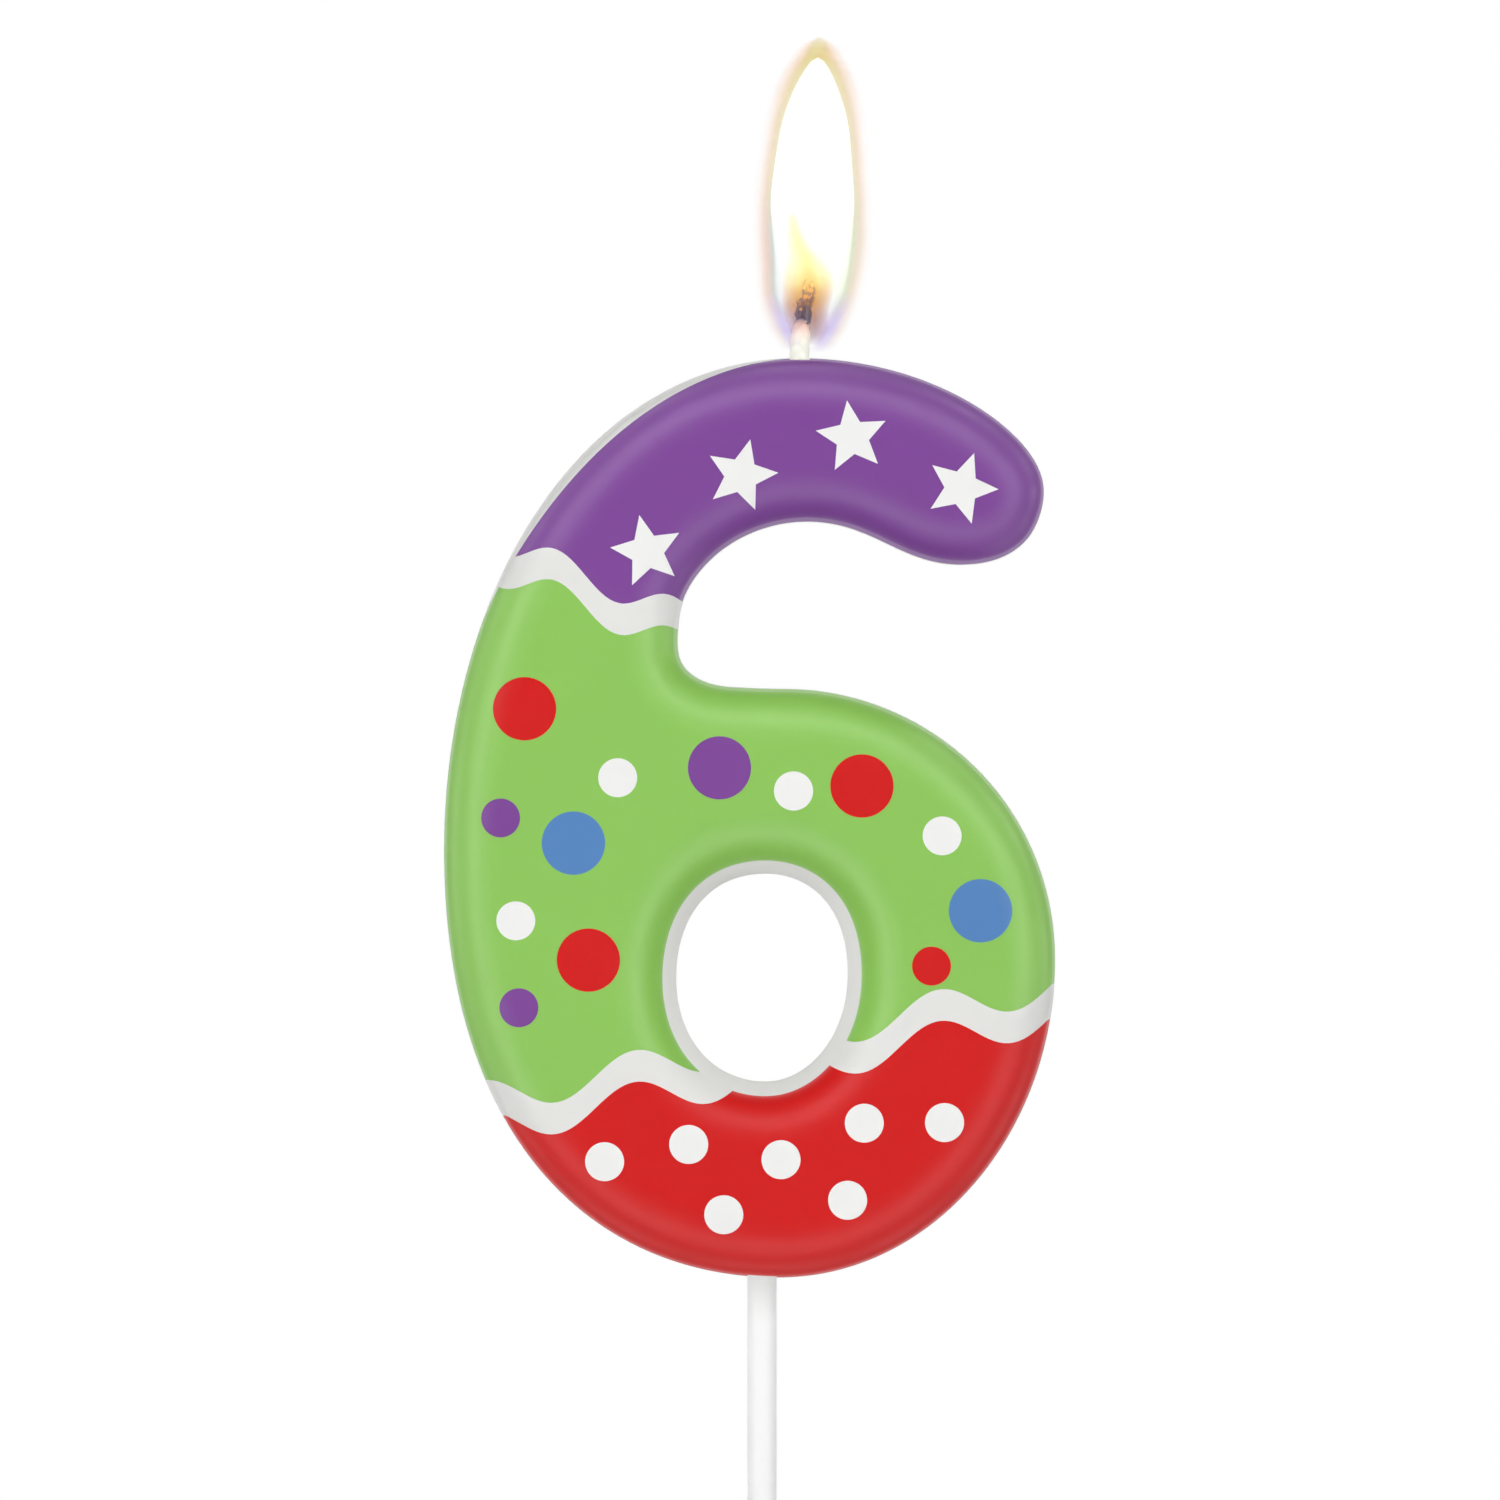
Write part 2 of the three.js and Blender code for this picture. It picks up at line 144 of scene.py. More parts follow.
CHARRED_FIBRES = [
    [(3.0, -0.3, 79.3), (2.72, -0.35, 79.45), (2.8, -0.3, 79.8)],
    [(3.9, -0.2, 79.2), (4.08, -0.3, 79.5), (4.02, -0.3, 79.9)],
    [(3.0, -0.3, 80.2), (2.86, -0.35, 80.5), (3.02, -0.4, 80.75)],
    [(3.5, -0.2, 81.3), (3.4, -0.3, 81.9), (3.62, -0.3, 82.4)],
    [(4.0, -0.1, 80.9), (3.86, -0.2, 81.6), (4.1, -0.2, 82.3)],
    [(3.85, -0.2, 81.0), (4.05, -0.3, 81.4), (3.9, -0.3, 81.8)],
]
CHARRED_GROUPS = [
    (CHARRED_STUMP, (0.25, 0.14)),
    (CHARRED_CURLS, (0.15, 0.11)),
    (CHARRED_FIBRES, (0.05, 0.03)),
]
CHARRED_STEPS = 24

# Flame: pairs of a half width and a level, or of an axis's X and a level; the curl is in radians
FLAME_AXIS = [(3.75, 76), (3.84, 80.5), (4.12, 84), (4.17, 90), (4.37, 95.5), (4.48, 98.5), (4.72, 102.4)]
CORE_PROFILE = [
    (0.8, 77),
    (1.5, 78.4),
    (2.15, 79.7),
    (2.75, 81),
    (3.1, 84.2),
    (3.37, 87.5),
    (3.4, 89),
    (3.11, 92.5),
    (2.66, 95.5),
    (2.04, 97.5),
    (1.38, 99),
    (0.66, 100.2),
    (0.38, 100.5),
    (0, 100.65),
]
GLOW_PROFILE = [
    (2.4, 76.3),
    (3.4, 77.8),
    (4.3, 80),
    (5, 84),
    (5.15, 87),
    (4.9, 92),
    (4.2, 96.4),
    (3.2, 99.6),
    (2.4, 100.9),
    (1.8, 101.6),
    (1.25, 102.05),
    (0.65, 102.35),
    (0.1, 102.45),
]
PLUME_AXIS = [
    (3.9, 77),
    (3.8, 78.4),
    (3.6, 80),
    (3.75, 81.2),
    (3.82, 82.6),
    (3.6, 84),
    (3.05, 85.3),
    (2.65, 86.8),
    (2.4, 89),
]
PLUME_PROFILE = [
    (0.9, 77),
    (1.35, 78.2),
    (1.62, 79.5),
    (1.8, 82.2),
    (1.55, 83.3),
    (1.1, 84.3),
    (0.8, 85.4),
    (0.45, 87),
    (0.28, 88.4),
    (0, 90),
]
PLUME_SHELLS = np.linspace(1.18, 0.4, 14)
PLUME_BEHIND = 1.1
TONGUE_AXIS = [(3.7, 79.4), (3.85, 81.5), (3.82, 83), (3.6, 84.8)]
TONGUE_PROFILE = [(0.45, 79.4), (0.62, 81.3), (0.55, 82.5), (0.35, 83.7), (0, 84.8)]
TONGUE_SHELLS = (1.15, 0.85, 0.55)
TONGUE_BEHIND = 0.4
VEIL_FLATNESS = 0.55
VEIL_HEIGHT_POWER = 0.4
FIN_COUNT = 96
FIN_STEPS = 12
FIN_OVERLAP = 0.12
FIN_CURL = 1.2
FIN_CURL_LEVELS = (99.8, 100.7)
FLAME_AXIS_STEPS = 60
FLAME_PROFILE_STEPS = 200
FLAME_LEVELS = 48
FLAME_SIDES = 48
FLAME_SPAN = (76.3, 102.45)

# Light of the flame: stops of a depth or a level, with a colour and an opacity
LEFT_GLOW = [
    (0, "20d8f0", 0.028),
    (0.18, "68b0a8", 0.028),
    (0.36, "c07848", 0.03),
    (0.52, "dc8838", 0.03),
    (0.7, "f0a040", 0.012),
    (0.86, "f8b060", 0.003),
    (1, "ffffff", 0),
]
RIGHT_GLOW = [
    (0, "40e878", 0.014),
    (0.18, "80d058", 0.021),
    (0.36, "c0a838", 0.03),
    (0.52, "d8a838", 0.028),
    (0.7, "f0b050", 0.012),
    (0.86, "f8b868", 0.003),
    (1, "ffffff", 0),
]
WAIST_GLOW = [
    (0, "b0e020", 0.012),
    (0.15, "c8d018", 0.022),
    (0.32, "d8b020", 0.034),
    (0.48, "eca828", 0.026),
    (0.65, "f4a848", 0.009),
    (0.85, "f8b868", 0.002),
    (1, "ffffff", 0),
]
HEAD_GLOW = [
    (0, "e0c850", 0.016),
    (0.2, "d0cc40", 0.024),
    (0.37, "dcc040", 0.037),
    (0.55, "ecb448", 0.024),
    (0.75, "f0ac58", 0.013),
    (0.9, "f4b468", 0.004),
    (1, "ffffff", 0),
]
FOOT_GLOW = [
    (0, "a070b0", 0.01),
    (0.2, "7838e0", 0.02),
    (0.38, "8040f0", 0.024),
    (0.6, "c08078", 0.017),
    (0.8, "e0b080", 0.006),
    (1, "ffffff", 0),
]
CORE_STRENGTH = 4
CORE_STOPS = [
    (77.6, "ffffff", 0),
    (79, "ffffff", 0.004),
    (80.4, "ffffff", 0.012),
    (81.5, "ffffff", 0.026),
    (84, "ffffff", 0.05),
    (87.5, "ffffff", 0.06),
    (89, "c8c8c8", 0.3),
    (91, "a0a0a0", 1),
]
PLUME_STOPS = [
    (77, "a08080", 0),
    (77.9, "985850", 0.03),
    (79.2, "a06030", 0.056),
    (80.2, "c88018", 0.075),
    (81.4, "e8a810", 0.083),
    (82.2, "f8dd58", 0.08),
    (83.2, "fff280", 0.078),
    (84.5, "ffff80", 0.078),
    (86, "ffff90", 0.075),
    (87.5, "ffffa0", 0.07),
    (90, "ffffa0", 0),
]
TONGUE_STOPS = [
    (79.4, "a05828", 0),
    (80.4, "b86820", 0.08),
    (82, "e89028", 0.13),
    (83.2, "f8c848", 0.1),
    (84.8, "fff080", 0),
]

# Where one glow turns into the next, across the flame in X and up it in levels
GLOW_TURN = (3, 5.5)
WAIST_LEVELS = (86, 91)
HEAD_LEVELS = (94, 98)
FOOT_LEVELS = (81.5, 79)

# Levels, each with the share of the glow that is left there
GLOW_ENDS = [(76.3, 0), (77.2, 0.6), (78.2, 1), (100.6, 1), (101.4, 0.85), (102, 0.5), (102.45, 0)]

# Waxes: the colour as it looks in even light, and the strength of the gloss
WAXES = {
    # bare wax is greyer than the white film: partly the wax's own tone, partly painted shade that darkens
    # the hole's wall and the bare crescent
    "bare_wax": ("ededea", 0.12),
    "white_wax": ("f9f9f7", 0.15),
    "purple_wax": ("7a3a96", 0.25),
    "green_wax": ("8cc854", 0.27),
    "red_wax": ("d90a0a", 0.14),
    "blue_wax": ("5185c2", 0.2),
}
WAX_ROUGHNESS = (0.42, 0.48)
MOTTLE_SHADE = 0.97
PLASTIC_COLOUR = "fcfcfc"
PLASTIC_ROUGHNESS = (0.46, 0.54)
PLASTIC_GLOSS = 0.3
NOISE_SPAN = (0.3, 0.7)

# Cotton and char: pairs of a level and a colour, for the surface and for the light painted on it: on the
# cotton the flame's light, painted as a glow; on the char ember glow with painted highlights
COTTON_STOPS = [(77, "fafbf2"), (77.8, "ffeadb"), (78.7, "d8a898"), (79.1, "6a5560")]
# painted light: the flame's light on the wick, given to the cotton as emission
COTTON_PAINTED_LIGHT = [(76, "585a48"), (77.8, "6a6450"), (78.9, "100800")]
COTTON_ROUGHNESS = 0.5
CHAR_STOPS = [(78.9, "564660"), (79.7, "5c3c40"), (80.4, "6c3014"), (81, "804808"), (82.3, "c08828")]
# ember glow on the upper strands, brightened into painted highlights
CHAR_EMBER_GLOW_AND_HIGHLIGHTS = [(80.1, "000000"), (80.8, "d88c18"), (82.2, "f8c048")]
CHAR_ROUGHNESS = 0.75
# spots of light on the char's loops: partly ember glow, partly painted highlights
EMBER_AND_HIGHLIGHT_SPAN = (0.48, 0.62)
EMBER_AND_HIGHLIGHT_STRENGTH = (0.1, 0.85)

# Rays for which the world and the floor look white
SEEING_RAYS = ("Is Camera Ray", "Is Glossy Ray", "Is Transmission Ray")

# Which film is of which wax; the rest are white
COLOURED_FILMS = {
    "purple_wax": ("arm_film", "dot_6", "dot_10", "dot_13"),
    "green_wax": ("middle_film",),
    "red_wax": ("base_film", "dot_1", "dot_4", "dot_8", "dot_12"),
    "blue_wax": ("dot_2", "dot_9"),
}

CASTING_LOW, CASTING_HIGH = (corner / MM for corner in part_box("wax_body"))
FRONT_Y = CASTING_LOW.y
BACK_Y = CASTING_HIGH.y
WALL_END = FRONT_Y + SHOULDER_DEPTH
FILM_END = BACK_Y - FILM_BACK_MARGIN


# Loops and outlines


def unit(rows):
    """The rows, each scaled to a length of one."""
    return rows / np.linalg.norm(rows, axis=1)[:, None]


def node_points(name):
    """The corners of a CAD node in millimetres, one row each."""
    return np.array([vertex.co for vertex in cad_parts[name].data.vertices]) / MM


def back_edges():
    """The two closed loops that bound the casting's flat back, the longer one first."""
    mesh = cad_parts["wax_body"].data
    places = [(round(x, 3), round(z, 3)) for x, y, z in node_points("wax_body")]
    uses = Counter()
    for face in mesh.polygons:
        if all(abs(mesh.vertices[i].co.y / MM - BACK_Y) < CAD_TOLERANCE for i in face.vertices):
            ring = [places[i] for i in face.vertices]
            uses.update(frozenset(pair) for pair in zip(ring, ring[1:] + ring[:1]))
    links = defaultdict(list)
    for a, b in (tuple(edge) for edge, count in uses.items() if count == 1):
        links[a].append(b)
        links[b].append(a)
    loops = []
    while links:
        loop = [next(iter(links))]
        while loop[-1] in links:
            onward = [place for place in links.pop(loop[-1]) if place in links]
            if not onward:
                break
            loop.append(onward[0])
        loops.append(np.array(loop))
    return sorted(loops, key=len, reverse=True)


def anticlockwise(loop):
    """The loop, turned round if it runs clockwise."""
    after = np.roll(loop, -1, 0)
    area = (loop[:, 0] * after[:, 1] - after[:, 0] * loop[:, 1]).sum()
    return loop if area > 0 else loop[::-1]


def smooth_loop(points, count):
    """A closed cubic spline through the points, as count evenly spaced points."""
    size = len(points)
    after = np.roll(points, -1, 0)
    gaps = np.linalg.norm(after - points, axis=1)
    slopes = (after - points) / gaps[:, None]
    system = np.zeros((size, size))
    for i in range(size):
        system[i, i - 1] = gaps[i - 1]
        system[i, i] = 2 * (gaps[i - 1] + gaps[i])
        system[i, (i + 1) % size] = gaps[i]
    bends = np.linalg.solve(system, 6 * (slopes - np.roll(slopes, 1, 0)))
    onward_bends = np.roll(bends, -1, 0)
    stretches = []
    for t in np.linspace(0, 1, LOOP_SPLINE_STEPS, endpoint=False):
        bend = ((1 - t) ** 3 - (1 - t)) * bends + (t**3 - t) * onward_bends
        stretches.append((1 - t) * points + t * after + gaps[:, None] ** 2 / 6 * bend)
    fine = np.stack(stretches, 1).reshape(-1, 2)
    return even_loop(fine, count)


def even_line(points, count, endpoint=True):
    """The line through the points, as count evenly spaced points."""
    run = np.concatenate(([0], np.linalg.norm(np.diff(points, axis=0), axis=1).cumsum()))
    stops = np.linspace(0, run[-1], count, endpoint=endpoint)
    return np.column_stack([np.interp(stops, run, column) for column in points.T])


def even_loop(points, count):
    return even_line(np.vstack((points, points[:1])), count, endpoint=False)


def inward_normals(loop):
    """The direction into an anticlockwise loop at each of its points."""
    along = unit(np.roll(loop, -1, 0) - np.roll(loop, 1, 0))
    return np.column_stack((-along[:, 1], along[:, 0]))


class Rim:
    """An edge of the numeral: its points, the directions from it into the wax, and how far
    inside it the shoulder starts."""

    def __init__(self, loop, into_wax, start):
        self.loop = loop
        self.into_wax = into_wax
        self.start = start

    def ring(self, run):
        """The loop at a run into the wax from where the shoulder starts."""
        return self.loop + self.into_wax * (self.start + run)

    def nearest(self, points):
        """For each point, its run from where the shoulder starts, the direction into the
        wax there, and the share of the way round the loop."""
        loop = self.loop
        legs = np.roll(loop, -1, 0) - loop
        runs, directions, shares = [], [], []
        for block in np.array_split(points, max(1, len(points) // POINTS_AT_ONCE)):
            offsets = block[:, None] - loop
            along = np.clip((offsets * legs).sum(2) / (legs**2).sum(1), 0, 1)
            away = offsets - along[:, :, None] * legs
            best = np.linalg.norm(away, axis=2).argmin(1)
            rows = np.arange(len(block))
            t = along[rows, best][:, None]
            onward = self.into_wax[(best + 1) % len(loop)]
            inwards = unit((1 - t) * self.into_wax[best] + t * onward)
            runs.append((away[rows, best] * inwards).sum(1) - self.start)
            directions.append(inwards)
            shares.append((best + t[:, 0]) / len(loop))
        return np.concatenate(runs), np.concatenate(directions), np.concatenate(shares)


def make_rims():
    """The rims of the outline, which starts at the crown, and of the hole."""
    outer, hole = (anticlockwise(loop) for loop in back_edges())
    outline = smooth_loop(outer, OUTLINE_POINTS)
    crown = outline[:, 1].argmax()
    outline = np.roll(outline, -crown, 0)
    back_hole = smooth_loop(hole, HOLE_POINTS)
    hole_edge = even_loop(back_hole - inward_normals(back_hole) * HOLE_DRAFT, HOLE_POINTS)
    return (
        Rim(outline, inward_normals(outline), WALL_DRAFT),
        Rim(hole_edge, -inward_normals(hole_edge), 0),
    )


OUTER, HOLE = make_rims()
OUTLINE_LENGTH = np.linalg.norm(np.roll(OUTER.loop, -1, 0) - OUTER.loop, axis=1).sum()


# The print's layout


def seam_level(seam, x):
    """The middle of a wavy seam at each X."""
    run = x - seam["through"][0]
    swing = seam["height"] * np.sin(2 * math.pi * run / seam["length"] + seam["phase"])
    return seam["through"][1] + seam["slope"] * run + swing


def arm_level(x):
    """The middle of the arm's seam, which runs on level through the mouth."""
    return np.where(x < MOUTH_X, seam_level(ARM_SEAM, x), ARM_SEAM["through"][1])


def crescent_margin(share):
    """How far the film stays inside the outline, a share of the way round from the crown."""
    run = share * OUTLINE_LENGTH
    swell = CRESCENT_WIDTH * np.sin(math.pi * run / CRESCENT_LENGTH)
    return np.where(run < CRESCENT_LENGTH, swell, 0)


def motif_outline(name):
    """The outline of a star or a dot, from the corners of its CAD node."""
    flat = [Vector(p) for p in sorted({(round(x, 2), round(z, 2)) for x, y, z in node_points(name)})]
    hull = np.array([flat[i] for i in geometry.convex_hull_2d(flat)])
    middle = hull.mean(0) if name.startswith("star") else (hull.max(0) + hull.min(0)) / 2
    radius = np.linalg.norm(hull - middle, axis=1).max()
    if not name.startswith("star"):
        angles = np.linspace(0, 2 * math.pi, DOT_POINTS, endpoint=False)
        return middle + radius * np.column_stack((np.cos(angles), np.sin(angles)))
    tip = hull[0] - middle
    start = math.atan2(tip[1], tip[0])
    corners = []
    for i in range(2 * STAR_POINTS):
        reach = radius * (STAR_WAIST if i % 2 else 1)
        angle = start + math.pi * i / STAR_POINTS
        corners.append(middle + reach * np.array((math.cos(angle), math.sin(angle))))
    corners = np.array(corners)
    steps = np.linspace(0, 1, STAR_EDGE_POINTS, endpoint=False)[:, None]
    edges = [a + steps * (b - a) for a, b in zip(corners, np.roll(corners, -1, 0))]
    return np.vstack(edges)


MOTIFS = {
    name: motif_outline(name)
    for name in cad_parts
    if name.startswith(("star_", "dot_", "base_dot_"))
}


def inside(points, loop):
    """Which of the points lie inside a closed loop."""
    after = np.roll(loop, -1, 0)
    x, z = points[:, 0, None], points[:, 1, None]
    straddles = (loop[:, 1] > z) != (after[:, 1] > z)
    rise = np.where(straddles, after[:, 1] - loop[:, 1], 1)
    crossing = loop[:, 0] + (z - loop[:, 1]) * (after[:, 0] - loop[:, 0]) / rise
    return (straddles & (x < crossing)).sum(1) % 2 == 1


def labels_at(points):
    """The name of the node that shows on the face at each point, or bare for bare wax."""
    x, z = points[:, 0], points[:, 1]
    half = SEAM_WIDTH / 2
    arm, base = arm_level(x), seam_level(BASE_SEAM, x)
    labels = np.full(len(points), "bare", dtype="<U16")
    labels[z > arm + half] = "arm_film"
    labels[(z < arm - half) & (z > base + half)] = "middle_film"
    labels[z < base - half] = "base_film"
    labels[(x > MOUTH_X) & (z > arm)] = "arm_film"
    labels[(x > MOUTH_X) & (z < arm) & (z > base + half)] = "middle_film"
    run, _, share = OUTER.nearest(points)
    labels[run + OUTER.start < crescent_margin(share)] = "bare"
    for name, loop in MOTIFS.items():
        labels[inside(points, loop) & (labels != "bare")] = name
    return labels


# The casting's skin: places, outward normals, and faces with the label they carry


def section(run):
    """The face's Y at a run into the wax, and its normal's parts out of the rim and forwards."""
    cosine = np.clip(1 - run / SHOULDER_WIDTH, 0, 1)
    sine = np.sqrt(1 - cosine**2)
    return WALL_END - SHOULDER_DEPTH * sine, SHOULDER_DEPTH / SHOULDER_WIDTH * cosine, sine


def film_end(share):
    """How far back the film reaches on the outer wall, where the crescent's edge crosses it."""
    bare = crescent_margin(share) / WALL_DRAFT
    crossing = BACK_Y - bare * (BACK_Y - WALL_END)
    return np.clip(crossing, WALL_END + 2 * CREASE_WIDTH, FILM_END)


def crescent_line():
    """The film's edge where it stops short of the outline."""
    share = np.linspace(0, CRESCENT_LENGTH / OUTLINE_LENGTH, CRESCENT_POINTS)
    stops = share * OUTLINE_POINTS
    low = stops.astype(int)
    part = (stops - low)[:, None]
    along = (1 - part) * OUTER.loop[low] + part * OUTER.loop[low + 1]
    inwards = (1 - part) * OUTER.into_wax[low] + part * OUTER.into_wax[low + 1]
    return along + inwards * crescent_margin(share)[:, None]


def face_drawing():
    """Points and edges that the face's mesh follows, and the run of each ring's edges."""
    points, edges, runs = [], [], {}

    def add(line, closed, run=None):
        first = len(points)
        points.extend(Vector(place) for place in line)
        count = len(line)
        for i in range(count if closed else count - 1):
            if run is not None:
                runs[len(edges)] = run
            edges.append((first + i, first + (i + 1) % count))

    angles = np.linspace(0, math.pi / 2, SHOULDER_RINGS + 1)
    for rim in (OUTER, HOLE):
        for run in SHOULDER_WIDTH * (1 - np.cos(angles)):
            add(rim.ring(run), True, float(run))
    west, east = OUTER.loop[:, 0].min() - WAVE_MARGIN, OUTER.loop[:, 0].max() + WAVE_MARGIN
    half = SEAM_WIDTH / 2
    for shift in (-half, half):
        x = np.arange(west, MOUTH_X, WAVE_STEP)
        add(np.column_stack((x, arm_level(x) + shift)), False)
        x = np.arange(west, east, WAVE_STEP)
        add(np.column_stack((x, seam_level(BASE_SEAM, x) + shift)), False)
    add(crescent_line(), False)
    for loop in MOTIFS.values():
        add(loop, True)
    points.extend(Vector(place) for place in plateau_points())
    return points, edges, runs


def plateau_points():
    """A grid over the flat of the face."""
    low, high = OUTER.loop.min(0), OUTER.loop.max(0)
    x, z = np.meshgrid(np.arange(low[0], high[0], GRID_STEP), np.arange(low[1], high[1], GRID_STEP))
    x[::2] += GRID_STEP / 2
    grid = np.column_stack((x.ravel(), z.ravel()))
    grid = grid[inside(grid, OUTER.loop) & ~inside(grid, HOLE.loop)]
    clear = SHOULDER_WIDTH + GRID_STEP / 2
    return grid[(OUTER.nearest(grid)[0] > clear) & (HOLE.nearest(grid)[0] > clear)]


class Skin:
    """The casting's surface with the film on it, as if both were one body."""

    def __init__(self):
        self.places = []
        self.normals = []
        self.faces = []
        self.labels = []

    def add_point(self, place, normal):
        self.places.append(np.array(place))
        self.normals.append(np.array(normal) / np.linalg.norm(normal))
        return len(self.places) - 1

    def add_face(self, face, label):
        self.faces.append(tuple(face))
        self.labels.append(label)

    def add_front(self):
        """The face and its shoulders; returns the open edges, with label and rim."""
        points, edges, runs = face_drawing()
        made = geometry.delaunay_2d_cdt(points, edges, [], 0, DRAWING_TOLERANCE, True)
        places, links, triangles, _, sources, _ = made
        flat = np.array([tuple(place) for place in places])
        outer_run, outer_way, outer_share = OUTER.nearest(flat)
        hole_run, hole_way, _ = HOLE.nearest(flat)
        nearer_hole = hole_run < outer_run
        run = np.where(nearer_hole, hole_run, outer_run)
        way = np.where(nearer_hole[:, None], hole_way, outer_way)
        for link, drawn_edges in zip(links, sources):
            for edge in drawn_edges:
                if edge in runs:
                    run[list(link)] = runs[edge]
        forward, across, sine = section(run)
        for (x, z), y, (i, j), lean, rise in zip(flat, forward, way, across, sine):
            self.add_point((x, y, z), (-i * lean, -rise, -j * lean))
        faces = np.array([face for face in triangles if len(face) == 3])
        middles = flat[faces].mean(1)
        kept = inside(middles, OUTER.ring(0)) & ~inside(middles, HOLE.ring(0))
        uses = Counter()
        border = {}
        for face, label in zip(faces[kept].tolist(), labels_at(middles[kept])):
            self.add_face(face, str(label))
            for edge in zip(face, face[1:] + face[:1]):
                uses[frozenset(edge)] += 1
                border[frozenset(edge)] = (edge, str(label))
        self.ways = way
        self.film_ends = film_end(outer_share)
        opened = [border[edge] for edge, count in uses.items() if count == 1]
        return [(a, b, label, bool(nearer_hole[a])) for (a, b), label in opened]

    def add_walls(self, opened):
        """The walls down from the open edges, and the flat back between their ends."""
        columns = {}
        slope = {True: HOLE_DRAFT / (BACK_Y - WALL_END), False: WALL_DRAFT / (BACK_Y - WALL_END)}
        for a, b, _, at_hole in opened:
            for point in (a, b):
                if point not in columns:
                    columns[point] = self.add_column(point, slope[at_hole])
        for a, b, label, at_hole in opened:
            for row in range(len(columns[a]) - 1):
                quad = [columns[a][row], columns[a][row + 1], columns[b][row + 1], columns[b][row]]
                covered = not at_hole and row < FILM_ROWS
                self.add_face(quad, label if covered else "bare")
        self.add_back({a: b for a, b, _, _ in opened}, columns)

    def add_column(self, point, slope):
        """Points down the wall from one on its brim, and round the edge of the back."""
        x, y, z = self.places[point]
        into_x, into_z = self.ways[point]
        turn_start = BACK_Y - BACK_ROUNDING
        column = [point]
        for level in (WALL_END + CREASE_WIDTH, self.film_ends[point], turn_start):
            out = slope * (level - WALL_END)
            place = (x - into_x * out, level, z - into_z * out)
            column.append(self.add_point(place, (-into_x, -slope, -into_z)))
        for angle in np.linspace(0, math.pi / 2, BACK_ROUNDING_STEPS + 1)[1:]:
            level = turn_start + BACK_ROUNDING * math.sin(angle)
            out = slope * (level - WALL_END) - BACK_ROUNDING * (1 - math.cos(angle))
            place = (x - into_x * out, level, z - into_z * out)
            lean = math.cos(angle)
            column.append(self.add_point(place, (-into_x * lean, math.sin(angle), -into_z * lean)))
        return column

    def add_back(self, onward, columns):
        """The flat back, between the ends of the columns."""
        loops = []
        left = dict(onward)
        while left:
            loop = [next(iter(left))]
            while left.get(loop[-1]) is not None:
                loop.append(left.pop(loop[-1]))
            loops.append([columns[point][-1] for point in loop[:-1]])
        order = [point for loop in loops for point in loop]
        drawn = [[Vector(self.places[point][[0, 2]]).to_3d() for point in loop] for loop in loops]
        for face in geometry.tessellate_polygon(drawn):
            a, b, c = (self.places[order[i]][[0, 2]] for i in face)
            clockwise = (b[0] - a[0]) * (c[1] - a[1]) < (b[1] - a[1]) * (c[0] - a[0])
            corners = [order[i] for i in face]
            self.add_face(corners if clockwise else corners[::-1], "bare")


def make_skin():
    skin = Skin()
    skin.add_walls(skin.add_front())
    skin.places = np.array(skin.places)
    skin.normals = np.array(skin.normals)
    return skin


SKIN = make_skin()


# Pieces cut from the skin


def add_object(name, data):
    """A new object in the scene."""
    thing = bpy.data.objects.new(name, data)
    bpy.context.scene.collection.objects.link(thing)
    return thing


def finish_mesh(name, places, faces, normals=None, chart=None):
    """A named object from places in millimetres; normals go by face corner, the chart's pairs
    by point."""
    mesh = bpy.data.meshes.new(name)
    mesh.from_pydata([Vector(place) * MM for place in places], [], faces)
    mesh.polygons.foreach_set("use_smooth", [True] * len(faces))
    if normals is not None:
        mesh.normals_split_custom_set(normals)
    if chart is not None:
        layer = mesh.uv_layers.new(name="chart")
        for loop in mesh.loops:
            layer.data[loop.index].uv = chart[loop.vertex_index]
    return add_object(name, mesh)


def film_piece(label):
    """The film under one label: its outer face, its back against the wax, and its edge."""
    chosen = [face for face, own in zip(SKIN.faces, SKIN.labels) if own == label]
    used = sorted({point for face in chosen for point in face})
    index = {point: i for i, point in enumerate(used)}
    count = len(used)
    top = SKIN.places[used]
    places = np.vstack((top, top - SKIN.normals[used] * FILM_THICKNESS))
    faces, normals = [], []
    uses = Counter()
    for face in chosen:
        ring = [index[point] for point in face]
        faces.append(ring)
        normals.extend(SKIN.normals[point] for point in face)
        faces.append([i + count for i in reversed(ring)])
        normals.extend(-SKIN.normals[point] for point in reversed(face))
        uses.update(zip(ring, ring[1:] + ring[:1]))
    for a, b in uses:
        if (b, a) not in uses:
            faces.append([b, a, a + count, b + count])
            normals.extend([(0, 0, 0)] * 4)
    return finish_mesh(f"{label}_print", places, faces, normals)


def casting_piece():
    """The wax casting, with a shallow bed under every film."""
    index, places, faces, normals = {}, [], [], []

    def corner(point, bed):
        key = (point, bed)
        if key not in index:
            index[key] = len(places)
            places.append(SKIN.places[point] - SKIN.normals[point] * FILM_THICKNESS * bed)
        return index[key]

    beds = {}
    for face, label in zip(SKIN.faces, SKIN.labels):
        bed = label != "bare"
        faces.append([corner(point, bed) for point in face])
        normals.extend(SKIN.normals[point] for point in face)
        for edge in zip(face, face[1:] + face[:1]):
            beds[edge] = bed
    for (a, b), bed in beds.items():
        if bed and not beds[(b, a)]:
            faces.append([corner(b, True), corner(a, True), corner(a, False), corner(b, False)])
            normals.extend([(0, 0, 0)] * 4)
    return finish_mesh("wax_casting", places, faces, normals)


# Pick, wick and flame


